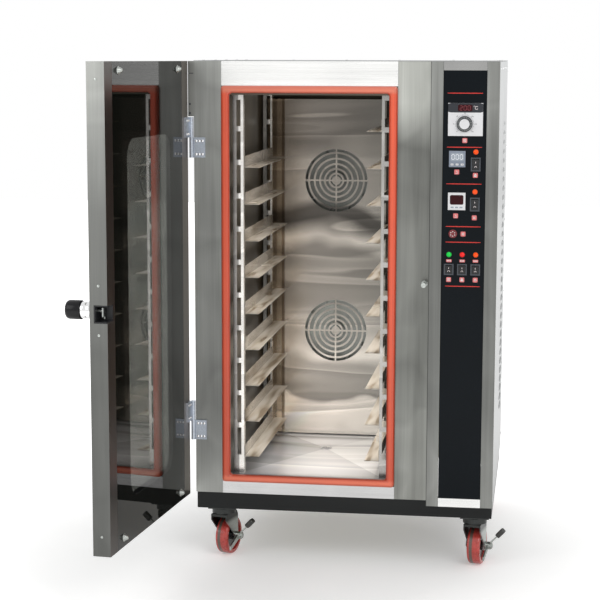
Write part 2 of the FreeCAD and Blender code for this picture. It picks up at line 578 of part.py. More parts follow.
# Post halves of the hinges: a leaf on the post with a knuckle beside it
halves = []
for zs in HINGE_SPLIT:
    leaf = box(PIVOT_X, LEAF_W, -LEAF_T, 0, zs - HINGE_PLAY - LEAF_H, zs - HINGE_PLAY)
    leaf = leaf.cut(box(PIVOT_X - 1, 0, -SEAM, 1, zs - 200, zs + 200))
    knuckle = cyl(KNUCKLE_R, LEAF_H, (PIVOT_X, PIVOT_Y, zs - HINGE_PLAY - LEAF_H), (0, 0, 1))
    half = leaf.fuse(knuckle)
    half = half.cut(cyl(PIN_R + RUN, LEAF_H - 10, (PIVOT_X, PIVOT_Y, zs - HINGE_PLAY - LEAF_H + 10), (0, 0, 1)))
    halves.append(tidy(half))
nodes["hinge_post_halves"] = Part.makeCompound(halves)

# Door, drawn closed
door = {}
IN_Y = -DOOR_GAP
OUT_Y = -DOOR_GAP - DOOR_T
shell = box(0, DOOR_W, OUT_Y, IN_Y, DOOR_Z0, Z_TOP)
shell = shell.cut(box(SHEET, DOOR_W - SHEET, OUT_Y + SHEET, IN_Y - SHEET, DOOR_Z0 + SHEET, Z_TOP - SHEET))
shell = shell.cut(box(STILE, DOOR_W - STILE, IN_Y - GLASS_T - GLASS_FIT, IN_Y + 1, DOOR_Z0 - 1, Z_TOP + 1))
for z0, z1 in ((DOOR_Z0, DOOR_Z0 + DOOR_LAP), (Z_TOP - DOOR_LAP, Z_TOP)):
    bar = box(SHEET, DOOR_W - SHEET, IN_Y - GLASS_T - GLASS_FIT - 3, IN_Y - GLASS_T - GLASS_FIT, z0, z1)
    shell = shell.fuse(bar)
win = round_slab(WIN_SIDE, DOOR_W - WIN_SIDE, OUT_Y - 1, OUT_Y + SHEET + 1,
                 Z_STEEL + WIN_END, Z_TOP - WIN_END, WIN_R)
shell = shell.cut(win)
LX = DOOR_W - LATCH_IN
POCK_X0 = LX - HOOK_W / 2 - 5
POCK_Z0 = LATCH_Z - POCKET_DOWN
POCK_Z1 = LATCH_Z + POCKET_UP
POCK_Y0 = -KEEPER_REACH - 6
house = box(POCK_X0 - 4, DOOR_W - 0.2, POCK_Y0 - 4, IN_Y - 0.2, POCK_Z0 - 4, POCK_Z1 + 4)
shell = shell.cut(box(POCK_X0 - 4.3, DOOR_W + 1, POCK_Y0 - 4.3, IN_Y + 1, POCK_Z0 - 4.3, POCK_Z1 + 4.3))
house = house.cut(box(POCK_X0, DOOR_W + 1, POCK_Y0, IN_Y + 1, POCK_Z0, POCK_Z1))
spindle_hole = cyl(SPINDLE_R + RUN, 80, (LX, OUT_Y - 5, LATCH_Z), (0, 1, 0))
door["door_frame"] = tidy(shell.cut(spindle_hole))
door["latch_housing"] = house.cut(spindle_hole)
door["inner_glass"] = box(STILE + GLASS_FIT, DOOR_W - STILE - GLASS_FIT, IN_Y - GLASS_T, IN_Y,
                          DOOR_Z0 + 0.5, Z_TOP - 0.5)
door["outer_glass"] = box(WIN_SIDE - 30, DOOR_W - WIN_SIDE + 30, OUT_Y + SHEET, OUT_Y + SHEET + GLASS_T,
                          Z_STEEL + WIN_END - 30, Z_TOP - WIN_END + 30)
leaves = []
for zs in HINGE_SPLIT:
    leaf = box(PIVOT_X, LEAF_W, IN_Y, IN_Y + LEAF_T, zs, zs + LEAF_H)
    leaf = leaf.cut(box(PIVOT_X - 1, 0, IN_Y - 1, IN_Y + SEAM, zs - 1, zs + LEAF_H + 1))
    knuckle = cyl(KNUCKLE_R, LEAF_H, (PIVOT_X, PIVOT_Y, zs), (0, 0, 1))
    bridge = box(PIVOT_X - 2, PIVOT_X + KNUCKLE_R, IN_Y + SEAM, PIVOT_Y, zs, zs + LEAF_H)
    pin = cyl(PIN_R, LEAF_H, (PIVOT_X, PIVOT_Y, zs - LEAF_H + 16), (0, 0, 1))
    leaves.append(tidy(leaf.fuse([knuckle, bridge, pin])))
door["hinge_door_halves"] = Part.makeCompound(leaves)

# Handle: domed grip, collar, and a spindle that carries the latch hook, drawn released
COLLAR_Y = OUT_Y - 0.4
collar = cyl(COLLAR_R, COLLAR_L, (LX, COLLAR_Y - COLLAR_L, LATCH_Z), (0, 1, 0))
door["handle_collar"] = collar.cut(cyl(SPINDLE_R, 200, (LX, OUT_Y - 100, LATCH_Z), (0, 1, 0)))
grip = cyl(KNOB_R, KNOB_L, (LX, COLLAR_Y - COLLAR_L - KNOB_L, LATCH_Z), (0, 1, 0))
dome = [e for e in grip.Edges if e.BoundBox.YMax < COLLAR_Y - COLLAR_L - KNOB_L + 0.01]
grip = grip.makeFillet(KNOB_R * 0.72, dome)
door["handle_grip"] = grip.cut(cyl(SPINDLE_R, COLLAR_L + 20, (LX, COLLAR_Y - COLLAR_L - 20, LATCH_Z), (0, 1, 0)))
HOOK_Y = -KEEPER_REACH + 6 + 1.5
spindle = cyl(SPINDLE_R, HOOK_Y + HOOK_T - (COLLAR_Y - COLLAR_L - 20), (LX, COLLAR_Y - COLLAR_L - 20, LATCH_Z),
              (0, 1, 0))
arm = box(LX - HOOK_W / 2, LX + HOOK_W / 2, HOOK_Y, HOOK_Y + HOOK_T, LATCH_Z - HOOK_L, LATCH_Z + HOOK_W / 2)
notch_x = KEEPER_STEM + 1.0
notch_z = KEEPER_X - LX - KEEPER_STEM - 1.0
arm = arm.cut(box(LX - notch_x, LX + HOOK_W, HOOK_Y - 1, HOOK_Y + HOOK_T + 1,
                  LATCH_Z - HOOK_L - 1, LATCH_Z - notch_z))
door["latch_hook"] = tidy(arm.fuse(spindle))
for name, shape in door.items():
    shape.rotate(V(PIVOT_X, PIVOT_Y, 0), V(0, 0, 1), -OPEN_DEG)
    nodes[name] = shape


# Castors, drawn about the swivel axis with the wheel trailing towards +Y
HEAD_Z0 = Z_BASE - PLATE_T - HEAD_H
CROWN_Z1 = HEAD_Z0 - HEAD_PLAY
CROWN_Z0 = CROWN_Z1 - CROWN_H
HALF = WHEEL_W / 2 + FORK_GAP
REACH = HALF + FORK_T


def fork_shape(rigid):
    legs = []
    top = HEAD_Z0 + HEAD_H if rigid else CROWN_Z1
    for side in (-1, 1):
        x0 = min(side * HALF, side * REACH)
        outline = [(-FORK_W / 2, top), (FORK_W / 2, top), (FORK_W / 2 + TRAIL * 0.25, top - CROWN_H * 2),
                   (TRAIL + FORK_END, WHEEL_R - 2), (TRAIL + FORK_END * 0.6, WHEEL_R - FORK_END),
                   (TRAIL - FORK_END * 0.6, WHEEL_R - FORK_END), (TRAIL - FORK_END, WHEEL_R + 6),
                   (-FORK_W / 2, top - CROWN_H * 2.5)]
        legs.append(prism_x(outline, x0, x0 + FORK_T))
    bridge = box(-REACH, REACH, -FORK_W / 2, FORK_W / 2, top - CROWN_H, top)
    shape = bridge.fuse(legs)
    if rigid:
        shape = shape.fuse(box(-PLATE_X / 2, PLATE_X / 2, -PLATE_Y / 2, PLATE_Y / 2, top, Z_BASE))
    else:
        shape = shape.fuse(cyl(KINGPIN_R, 10, (0, 0, CROWN_Z1 - 1), (0, 0, 1)))
    shape = shape.cut(cyl(AXLE_R, 2 * REACH + 10, (-REACH - 5, TRAIL, WHEEL_R), (1, 0, 0)))
    axle = cyl(AXLE_R, 2 * REACH + 30, (-REACH - 7, TRAIL, WHEEL_R), (1, 0, 0))
    nut = cyl(11, 7, (-REACH - 7, TRAIL, WHEEL_R), (1, 0, 0))
    axle = axle.fuse(nut)
    return tidy(shape), axle


def wheel_shape():
    wheel = cyl(WHEEL_R, WHEEL_W, (-WHEEL_W / 2, TRAIL, WHEEL_R), (1, 0, 0))
    rims = [e for e in wheel.Edges if e.BoundBox.ZMax > WHEEL_R + 30 and e.BoundBox.XLength < 0.01]
    wheel = wheel.makeFillet(7.0, rims)
    for side in (-1, 1):
        x0 = side * WHEEL_W / 2
        dish = cyl(WHEEL_R - 14, 8, (min(x0, x0 - side * 8), TRAIL, WHEEL_R), (1, 0, 0))
        dish = dish.cut(cyl(17, 20, (x0 - 10, TRAIL, WHEEL_R), (1, 0, 0)))
        wheel = wheel.cut(dish)
    return wheel.cut(cyl(AXLE_R + RUN, 200, (-100, TRAIL, WHEEL_R), (1, 0, 0)))


def lever_shape():
    x0 = REACH + 0.6
    hub = cyl(13, HUB_L, (x0, TRAIL, WHEEL_R), (1, 0, 0))
    arm = box(10, LEVER_UP + 10, TRAIL - LEVER_W / 2, TRAIL + LEVER_W / 2, -LEVER_T / 2, LEVER_T / 2)
    pedal = box(LEVER_UP + 10 - PEDAL_L, LEVER_UP + 10, TRAIL - PEDAL_W / 2, TRAIL + PEDAL_W / 2, -LEVER_T, LEVER_T)
    pedal = pedal.makeFillet(2.5, [e for e in pedal.Edges if e.Length > 2 * LEVER_T + 1])
    arm = arm.fuse(pedal)
    arm.rotate(V(0, TRAIL, 0), V(0, 1, 0), -LEVER_SPLAY)
    arm.translate(V(x0 + 7, 0, WHEEL_R))
    toe = prism_x([(TRAIL - LEVER_TOE, WHEEL_R - LEVER_TIP - 7), (TRAIL - LEVER_TOE, WHEEL_R - LEVER_TIP + 7),
                   (TRAIL, WHEEL_R + 10), (TRAIL, WHEEL_R - 10)], x0 + 6, x0 + 6 + LEVER_T)
    lever = hub.fuse([arm, toe])
    return tidy(lever.cut(cyl(AXLE_R + RUN, 200, (0, TRAIL, WHEEL_R), (1, 0, 0))))


def placed(shape, x, y, turn):
    shape = shape.copy()
    shape.rotate(V(0, 0, 0), V(0, 0, 1), turn)
    shape.translate(V(x, y, 0))
    return shape


FRONT = {"left": (CASTOR_IN_L, CASTOR_IN_Y, TURN_LEFT), "right": (WIDTH - CASTOR_IN_R, CASTOR_IN_Y, TURN_RIGHT)}
REAR_Y = BACK - CASTOR_IN_Y - BASE_INSET - 10
REAR = {"left": (CASTOR_IN_L, REAR_Y, 180.0), "right": (WIDTH - CASTOR_IN_R, REAR_Y, 180.0)}
plates = []
for side, (x, y, turn) in FRONT.items():
    top = box(-PLATE_X / 2, PLATE_X / 2, -PLATE_Y / 2, PLATE_Y / 2, Z_BASE - PLATE_T, Z_BASE)
    top = top.fuse(cyl(HEAD_R, HEAD_H, (0, 0, HEAD_Z0), (0, 0, 1)))
    top = top.cut(cyl(KINGPIN_R + RUN, 12, (0, 0, HEAD_Z0 - 1), (0, 0, 1)))
    plates.append(placed(tidy(top), x, y, 0))
    fork, axle = fork_shape(False)
    nodes["fork_" + side] = Part.makeCompound([placed(fork, x, y, turn), placed(axle, x, y, turn)])
    nodes["wheel_front_" + side] = placed(wheel_shape(), x, y, turn)
    nodes["brake_" + side] = placed(lever_shape(), x, y, turn)
nodes["castor_heads"] = Part.makeCompound(plates)
rigid_forks = []
for side, (x, y, turn) in REAR.items():
    fork, axle = fork_shape(True)
    rigid_forks.append(placed(fork, x, y, turn))
    rigid_forks.append(placed(axle, x, y, turn))
    nodes["wheel_rear_" + side] = placed(wheel_shape(), x, y, turn)
nodes["rear_castors"] = Part.makeCompound(rigid_forks)

# The shared origin is the middle of the whole object's footprint, on the floor where the wheels stand
whole = FreeCAD.BoundBox()
for shape in nodes.values():
    whole.add(shape.BoundBox)
SHIFT = V(-(whole.XMin + whole.XMax) / 2, -(whole.YMin + whole.YMax) / 2, 0)
for name, shape in nodes.items():
    shape.translate(SHIFT)
    shape.exportStep("parts/" + name + ".step")
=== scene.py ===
import json
import math
from functools import partial

import bpy
import numpy as np
from mathutils import Matrix, Vector


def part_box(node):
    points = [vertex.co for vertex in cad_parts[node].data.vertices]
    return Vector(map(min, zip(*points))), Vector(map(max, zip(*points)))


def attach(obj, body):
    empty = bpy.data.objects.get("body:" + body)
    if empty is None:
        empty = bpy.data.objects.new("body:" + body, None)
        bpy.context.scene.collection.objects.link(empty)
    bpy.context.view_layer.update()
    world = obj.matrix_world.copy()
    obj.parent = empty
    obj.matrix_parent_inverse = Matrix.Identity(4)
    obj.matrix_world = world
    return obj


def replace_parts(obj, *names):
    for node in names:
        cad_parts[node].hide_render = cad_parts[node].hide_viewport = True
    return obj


bl_info = {
    "name": "Bakery convection oven",
    "version": (1, 0, 0),
    "blender": (4, 5, 0),
    "location": "View3D > Sidebar > Oven",
    "description": "Dresses a bakery convection oven with its fittings, prints and finishes",
    "category": "Object",
}

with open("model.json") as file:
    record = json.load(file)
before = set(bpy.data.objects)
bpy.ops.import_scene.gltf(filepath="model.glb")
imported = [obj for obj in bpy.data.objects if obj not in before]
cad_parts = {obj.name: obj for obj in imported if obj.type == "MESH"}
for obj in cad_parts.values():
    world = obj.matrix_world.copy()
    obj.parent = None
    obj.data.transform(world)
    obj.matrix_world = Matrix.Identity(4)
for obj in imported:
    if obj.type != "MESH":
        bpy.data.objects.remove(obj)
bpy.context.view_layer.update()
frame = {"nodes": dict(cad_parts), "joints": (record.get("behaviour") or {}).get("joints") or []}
NODES = frame["nodes"]
JOINTS = {joint["name"]: joint for joint in frame["joints"]}
MAT = {}

# The cabinet's left front corner is the zero of the drawing; drawing sizes are millimetres
ZERO = np.array([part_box("left_panel")[0][0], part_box("left_post")[0][1], 0.0])
MM = 1000.0


def drawn(node):
    """A node's lowest and highest corner, in drawing millimetres."""
    return [(np.array(corner, float) - ZERO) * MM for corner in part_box(node)]


STEEL_Z, TOP_Z = (float(corner[2]) for corner in drawn("left_post"))
WIDTH = float(drawn("right_panel")[1][0])
BACK = float(drawn("back_panel")[1][1])
HALF_UP = (STEEL_Z + TOP_Z) / 2

# Control fascia: its face, its middle across, and the line from which its fittings are counted down
FACE_Y = float(drawn("control_panel")[0][1])
MID = float(sum(drawn("control_panel"))[0] / 2)
DATUM = TOP_Z - 5.5
FRONT = (0.0, -1.0, 0.0)

# Door, drawn closed: hinge line, width, inner face and middle of its thickness; it stands open at rest
HINGE = np.array(JOINTS["door_swing"]["pos_m"], float)
OPEN = -math.radians(JOINTS["door_swing"]["range_deg"][1])
DOOR_W = 772.0
DOOR_IN = -18.0
DOOR_MID = -45.0
LATCH_IN = 30.0
LATCH_UP = 4.5

# Hinges: their heights, and the height, thickness and gap of a leaf
HINGE_Z = (STEEL_Z + 249.5, TOP_Z - 248.5)
LEAF_H = 66.0
LEAF_T = 7.0
LEAF_GAP = 0.6

# Front castors, along the axle from its middle: the fork's side, and the root, length and lean of a lever
FORK_SIDE = 29.0
LEVER_ROOT = FORK_SIDE + 7.6
LEVER_L = 80.0
LEVER_LEAN = 47.0


def here(points):
    """Drawing millimetres to metres in the shared frame."""
    return np.asarray(points, float) / MM + ZERO


def on_door(points):
    """Millimetres drawn on the closed door, turned about the hinge line to where the door stands."""
    p = here(points) - HINGE
    c, s = math.cos(OPEN), math.sin(OPEN)
    x = c * p[..., 0] - s * p[..., 1]
    y = s * p[..., 0] + c * p[..., 1]
    return np.stack([x, y, p[..., 2]], -1) + HINGE


def door_way(direction):
    """A direction drawn on the closed door, turned with the door."""
    return on_door(direction) - on_door((0, 0, 0))


def about(joint, points):
    """Millimetres drawn about a joint, X along its axis and Z up, to metres in the shared frame."""
    p = np.asarray(points, float) / MM
    axis = np.array(JOINTS[joint]["axis"], float)
    up = np.array([0.0, 0.0, 1.0])
    middle = np.array(JOINTS[joint]["pos_m"], float)
    return middle + p[..., :1] * axis + p[..., 1:2] * np.cross(up, axis) + p[..., 2:] * up


# Shapes: every new piece is one or more stacks of rings

def piece(name, shape, finish, body, smooth=False):
    """A named mesh from whole arrays of points and faces, riding on a body."""
    verts, faces = shape
    mesh = bpy.data.meshes.new(name)
    mesh.from_pydata(verts.tolist(), [], faces)
    mesh.polygons.foreach_set("use_smooth", [smooth] * len(mesh.polygons))
    mesh.materials.append(MAT[finish])
    obj = bpy.data.objects.new(name, mesh)
    bpy.context.scene.collection.objects.link(obj)
    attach(obj, body)
    return obj


def stacked(rings):
    """Closed skins over stacks of rings. The array is copies, rings, points round and XYZ; each ring is
    joined to the next by quads, and the first and last ring are closed by one flat face each."""
    copies, rows, cols, _ = rings.shape
    r = np.arange(rows - 1)[:, None]
    c = np.arange(cols)[None]
    n = (c + 1) % cols
    quad = np.stack([r * cols + c, r * cols + n, (r + 1) * cols + n, (r + 1) * cols + c], -1).reshape(-1, 4)
    first = np.arange(copies)[:, None] * rows * cols
    sides = (quad[None] + first[..., None]).reshape(-1, 4)
    low = np.arange(cols)[::-1][None] + first
    top = np.arange(cols)[None] + (rows - 1) * cols + first
    return rings.reshape(-1, 3), sides.tolist() + low.tolist() + top.tolist()


def across(normal):
    """Two directions across a normal, so that first, second and normal are right-handed."""
    n = np.asarray(normal, float)
    n = n / np.linalg.norm(n)
    a = np.cross((1.0, 0.0, 0.0) if abs(n[2]) > 0.9 else (0.0, 0.0, 1.0), n)
    a = a / np.linalg.norm(a)
    return a, np.cross(n, a), n


def superellipse(sides, power, turn=0.0):
    """Points round |u|^k + |v|^k = 1: cos t and sin t, both over (|cos t|^k + |sin t|^k)^(1/k)."""
    t = np.linspace(0, 2 * np.pi, sides, endpoint=False) + turn
    c, s = np.cos(t), np.sin(t)
    reach = (np.abs(c) ** power + np.abs(s) ** power) ** (-1.0 / power)
    return c * reach, s * reach


def turned(points, profile, sides=20, normal=FRONT):
    """One turned shape at many points: centre + radius (a cos t + b sin t) + height n, with radius and
    height in millimetres read along the profile and t going once round."""
    p = np.asarray(points, float).reshape(-1, 3)
    a, b, n = across(normal)
    prof = np.asarray(profile, float) / MM
    t = np.linspace(0, 2 * np.pi, sides, endpoint=False)
    ring = np.cos(t)[:, None] * a + np.sin(t)[:, None] * b
    skin = prof[:, None, :1] * ring[None] + prof[:, None, 1:] * n
    return stacked(p[:, None, None] + skin[None])


def marks(items, lift=0.25, sides=16, power=8.0, normal=FRONT, place=here):
    """Thin raised marks. An item is centre x, y, z, half width, half height and turn in degrees. The
    outline is the superellipse |u/w|^k + |v/h|^k = 1, stood on its surface with a slightly smaller top at
    the lift."""
    rows = np.asarray(items, float)
    c, s = superellipse(sides, power, np.pi / sides)
    u, v = rows[:, 3:4] * c, rows[:, 4:5] * s
    turn = np.radians(rows[:, 5:6])
    a, b, n = across(normal)
    flat = (u * np.cos(turn) - v * np.sin(turn))[..., None] * a
    flat = flat + (u * np.sin(turn) + v * np.cos(turn))[..., None] * b
    base = rows[:, None, :3]
    smaller = 0.94
    return stacked(place(np.stack([base + flat, base + smaller * flat + lift * n], 1)))


def around(centre, reach, degrees, half, lean=None):
    """Marks in a ring on an upright face: centre + reach cos t in X and reach sin t in Z, one reach for
    both or one each. Given a lean, each mark turns with the ring."""
    x, y, z = centre
    rx, rz = np.broadcast_to(reach, 2)
    turns = [0.0 if lean is None else lean - t for t in degrees]
    return [(x + rx * math.cos(t), y, z + rz * math.sin(t), *half, turn)
            for t, turn in zip(np.radians(degrees), turns)]


def sleeve(root, tip, wide, half_w, half_t, sides=28, power=5.0):
    """A moulded sleeve on a flat bar: a superellipse across the bar, carried from root to tip along rings
    whose scale follows a quarter circle near both ends, so that the ends are rounded."""
    a, b = np.asarray(root, float), np.asarray(tip, float)
    w = np.asarray(wide, float)
    thin = np.cross((b - a) / np.linalg.norm(b - a), w)
    along = np.array([0.0, 0.02, 0.07, 0.16, 0.84, 0.93, 0.98, 1.0])
    scale = np.array([0.72, 0.86, 0.96, 1.0, 1.0, 0.96, 0.86, 0.72])
    u, v = superellipse(sides, power)
    loop = half_w * u[:, None] * w + half_t * v[:, None] * thin
    return stacked((a + along[:, None, None] * (b - a) + scale[:, None, None] * loop[None])[None])


def hoods(heights, y0, y1, tall, out):
    """Pressed louvre hoods on the right side. Across the hood the sheet leaves the panel by
    out (1 - u^4) sin(v), u along the slot from -1 to 1, v from the top edge down to the open lower lip."""
    seat = 0.8
    sheet = np.array([0.7, 0.0, 0.5])
    u = np.linspace(-1, 1, 9)
    v = np.linspace(0, np.pi / 2, 6)
    lift = out * (1 - u ** 4)[:, None] * np.sin(v)[None]
    drop = tall * (1 - np.cos(v))[None] + 0 * lift
    along = ((y0 + y1) / 2 + u * (y1 - y0) / 2)[:, None] + 0 * lift
    outer = np.stack([WIDTH + seat + lift, along, -drop], -1)
    ring = np.concatenate([outer, outer[:, ::-1] - sheet], 1)[:, ::-1]
    z = np.asarray(heights, float)
    return stacked(here(ring[None] + np.stack([0 * z, 0 * z, z], -1)[:, None, None]))


def dome(r, h):
    """Profile of a low domed head of radius r and height h."""
    a = np.linspace(0, np.pi / 2, 5)[:-1]
    side = [(r * math.cos(t) ** 0.7, h * (0.35 + 0.65 * math.sin(t))) for t in a]
    return [(r, 0.0)] + side + [(r * 0.15, h)]


SEGMENTS = {"0": "abcdef", "1": "bc", "2": "abged", "3": "abgcd", "5": "afgcd"}


def figures(text, x, y, z, w, h, bar):
    """Seven-bar figures as marks, left to right from x; w and h are the half width and height of one
    figure."""
    bars = {"a": (0, h, 0), "g": (0, 0, 0), "d": (0, -h, 0), "f": (-w, h / 2, 90), "b": (w, h / 2, 90),
            "e": (-w, -h / 2, 90), "c": (w, -h / 2, 90)}
    step = w * 3.2
    return [(x + k * step + dx, y, z + dz, h * 0.42 if turn else w * 0.8, bar, turn)
            for k, figure in enumerate(text) for dx, dz, turn in map(bars.get, SEGMENTS[figure])]


# Materials

def linear(hex_colour):
    """sRGB hex to linear RGBA."""
    v = [int(hex_colour[i:i + 2], 16) / 255 for i in (1, 3, 5)]
    return [c / 12.92 if c <= 0.04045 else ((c + 0.055) / 1.055) ** 2.4 for c in v] + [1.0]


def shade(colour, factor):
    """A linear colour made lighter or darker, with full alpha."""
    return [min(1.0, c * factor) for c in colour[:3]] + [1.0]


def feed(tree, node, inputs):
    """Feed a node's inputs, by name or in order from a list, each with an output, with the outputs of a
    node, of which the first live one is taken, or with a plain value."""
    for name, source in inputs.items() if isinstance(inputs, dict) else enumerate(inputs):
        if isinstance(source, bpy.types.bpy_prop_collection):
            source = next(out for out in source if out.enabled)
        if isinstance(source, bpy.types.NodeSocket):
            tree.links.new(source, node.inputs[name])
        else:
            node.inputs[name].default_value = source


def add(tree, kind, inputs=(), stops=(), **settings):
    """One node with its settings and inputs, known by its outputs. Stops fill a colour ramp, each a place
    and a grey factor or a colour."""
    node = tree.nodes.new("ShaderNode" + kind)
    for key, value in settings.items():
        setattr(node, key, value)
    feed(tree, node, inputs)
    if stops:
        ramp = node.color_ramp.elements
        ramp[0].position, ramp[-1].position = stops[0][0], stops[-1][0]
        for at, _ in stops[1:-1]:
            ramp.new(at)
        for stop, (_, tone) in zip(ramp, stops):
            stop.color = (tone, tone, tone, 1.0) if isinstance(tone, float) else (*tone[:3], 1.0)
    return node.outputs


def start(name, **sockets):
    """A new material: its tree, its shader with constant values set, and Object coordinates."""
    mat = bpy.data.materials.new(name)
    mat.use_nodes = True
    tree = mat.node_tree
    shader = tree.nodes["Principled BSDF"]
    feed(tree, shader, {key.replace("_", " "): value for key, value in sockets.items()})
    return mat, tree, shader, add(tree, "TexCoord")["Object"]


def surface(tree, shader, base, gloss, low, high, height=None, strength=0.1, depth=0.0003):
    """Colour of a surface, its roughness, which goes from low to high with the gloss pattern, and its
    relief, with the depth in metres."""
    feed(tree, shader, {"Base Color": base, "Roughness": add(tree, "MapRange", {0: gloss, 3: low, 4: high})})
    if height is not None:
        relief = add(tree, "Bump", {"Height": height, "Strength": strength, "Distance": depth})
        feed(tree, shader, {"Normal": relief})


def product(tree, first, *factors):
    """A colour or factor multiplied by each further one in turn."""
    for factor in factors:
        first = add(tree, "Mix", {0: 1.0, 6: first, 7: factor}, data_type="RGBA", blend_type="MULTIPLY")
    return first


def off_by(tree, value, at):
    """How far a coordinate lies from a place on its axis, either way."""
    off = add(tree, "Math", [value, at], operation="SUBTRACT")
    return add(tree, "Math", [off], operation="ABSOLUTE")


def drawn_out(along, long_mm, short_mm):
    """Scale of a pattern that is one length along an axis and another across it, in millimetres."""
    return [MM / (long_mm if axis == along else short_mm) for axis in "XYZ"]


def turned_space(tree, coord, turn, pivot, to=(0.0, 0.0, 0.0)):
    """Object coordinates turned about an upright line through a pivot, which lands at another place."""
    c, s = math.cos(turn), math.sin(turn)
    x, y, z = pivot
    shift = (to[0] - c * x + s * y, to[1] - s * x - c * y, to[2] - z)
    local = add(tree, "Mapping", {"Vector": coord, "Rotation": (0, 0, turn), "Location": shift})
    return add(tree, "SeparateXYZ", [local])


def door_space(tree, coord):
    """Object coordinates turned back about the hinge line, so that they are the closed door's."""
    return turned_space(tree, coord, -OPEN, HINGE, HINGE)


def wheel_space(tree, coord, joint):
    """Object coordinates about a castor's axle: X along the axle, Y ahead and Z up."""
    axis = JOINTS[joint]["axis"]
    return turned_space(tree, coord, -math.atan2(axis[1], axis[0]), JOINTS[joint]["pos_m"])


def up_sheet(tree, coord, tones):
    """Painted light and shade: grey factors up the oven's height, from (share of the height, factor),
    wandering a little.
    """
    wander = 0.16
    height = add(tree, "SeparateXYZ", [coord])["Z"]
    share = add(tree, "MapRange", [height, STEEL_Z / MM, TOP_Z / MM])
    cloud = add(tree, "TexNoise", {"Vector": coord, "Scale": MM / 300, "Detail": 2.0})
    place = add(tree, "Math", [cloud, wander, share], operation="MULTIPLY_ADD")
    return add(tree, "ValToRGB", [place], [(min(1.0, at + wander / 2), factor) for at, factor in tones])


# A painted reflection of a room in a dull sheet: places in a slow noise, and shares of the sheet's spread of
# tone
PAINTED_ROOM_REFLECTION = ((0.34, -0.2), (0.49, 0.4), (0.56, -0.4), (0.68, 0.2))


def brushed(name, colour, tones, grain_mm, along, rough, spread, inside=None, seam=None):
    """Brushed stainless sheet: a belt leaves fine parallel scratches, drawn coarser than the real 0.1 mm so
    that they show, over slow streaks along the belt, a painted reflection of a room and painted light
    and shade up the sheet. Tones are (share of the height, factor), and spread is how far the streaks go
    each way. Inside is the colour of the door frame's inner face, which a painted sheen makes lighter on
    the stile by the hinges. Dust darkens a seam, given by its X."""
    mat, tree, shader, coord = start(name, Metallic=1.0)
    lay = add(tree, "Mapping", {"Vector": coord, "Scale": drawn_out(along, grain_mm * 150, grain_mm)})
    fine = add(tree, "TexNoise", {"Vector": lay, "Scale": 1.0, "Detail": 3.0})
    grain = add(tree, "ValToRGB", [fine], [(0.3, 0.9), (0.7, 1.0)])
    run = add(tree, "Mapping", {"Vector": coord, "Scale": drawn_out(along, 900, 45)})
    slow = add(tree, "TexNoise", {"Vector": run, "Scale": 1.0, "Detail": 2.0, "Distortion": 0.6})
    streak = add(tree, "ValToRGB", [slow], [(0.32, 1 - spread), (0.68, 1 + spread)])
    # Painted reflection: a slow noise lightens and darkens the colour the way the image of a room would
    room = add(tree, "TexNoise", {"Vector": coord, "Scale": MM / 240, "Detail": 1.0, "Distortion": 0.3})
    painted_reflection = add(tree, "ValToRGB", [room], [(at, 1 + share * spread) for at, share in PAINTED_ROOM_REFLECTION])
    factors = [streak, painted_reflection]
    if seam is not None:
        off = off_by(tree, add(tree, "SeparateXYZ", [coord])["X"], seam)
        factors.append(add(tree, "MapRange", [off, 0.001, 0.0026, 0.3]))
    base = product(tree, up_sheet(tree, coord, tones), *factors, grain, shade(colour, 1.0))
    if inside:
        local = door_space(tree, coord)
        (_, behind, _), (_, before, _) = here([[0, DOOR_IN - 0.6, 0], [0, DOOR_IN - 0.2, 0]])
        (clear, _, _), (stile, _, _) = here([[70, 0, 0], [62, 0, 0]])
        face = add(tree, "MapRange", [local["Y"], behind, before])
        # Painted sheen: the inner face is painted 3.2 times lighter on the stile by the hinges
        far = add(tree, "MapRange", [local["X"], clear, stile])
        dark = add(tree, "Mix", {0: far, 6: shade(inside, 1.0), 7: shade(inside, 3.2)}, data_type="RGBA")
        base = add(tree, "Mix", {0: face, 6: base, 7: dark}, data_type="RGBA")
    surface(tree, shader, base, fine, rough - 0.04, rough + 0.05, fine, 0.04)
    return mat


# Painted reflection bands of the kind a swell throws: places along the swell, and shares of the sheet's
# contrast
PAINTED_SWELL_BANDS = ((0.3, -0.5), (0.4, -0.1), (0.455, 0.25), (0.48, 0.8), (0.492, -0.45), (0.55, -0.2), (0.6, 0.3),
               (0.61, -0.15), (0.7, 0.35))


def buckled(name, colour, wave_mm, along, rough, contrast, swell=0.004, metal=1.0, tone_of=None):
    """Thin polished sheet, slightly buckled by heat: long swells bend its reflections, and the bright and
    dark bands that they throw are painted into its colour, smooth on one side and crisp on the other. A film
    of old baking dulls it in patches. The swells lie across one direction, about wave_mm apart and eight
    times as long, and tone_of gives a further factor from the place."""
    mat, tree, shader, coord = start(name, Metallic=metal)
    lay = add(tree, "Mapping", {"Vector": coord, "Scale": drawn_out(along, wave_mm, wave_mm * 8)})
    wave = add(tree, "TexNoise", {"Vector": lay, "Scale": 1.0, "Detail": 1.3, "Roughness": 0.4,
                                  "Distortion": 0.45})
    cloud = add(tree, "TexNoise", {"Vector": coord, "Scale": MM / 260, "Detail": 2.0})
    # Painted reflections: the swell noise turns into bright and dark bands of colour
    bands = [(at, shade(colour, 1 + share * contrast)) for at, share in PAINTED_SWELL_BANDS]
    base = add(tree, "ValToRGB", [wave], bands)
    if tone_of:
        base = product(tree, base, tone_of(tree, coord))
    surface(tree, shader, base, cloud, rough - 0.05, rough + 0.08, wave, 0.5, swell)
    return mat


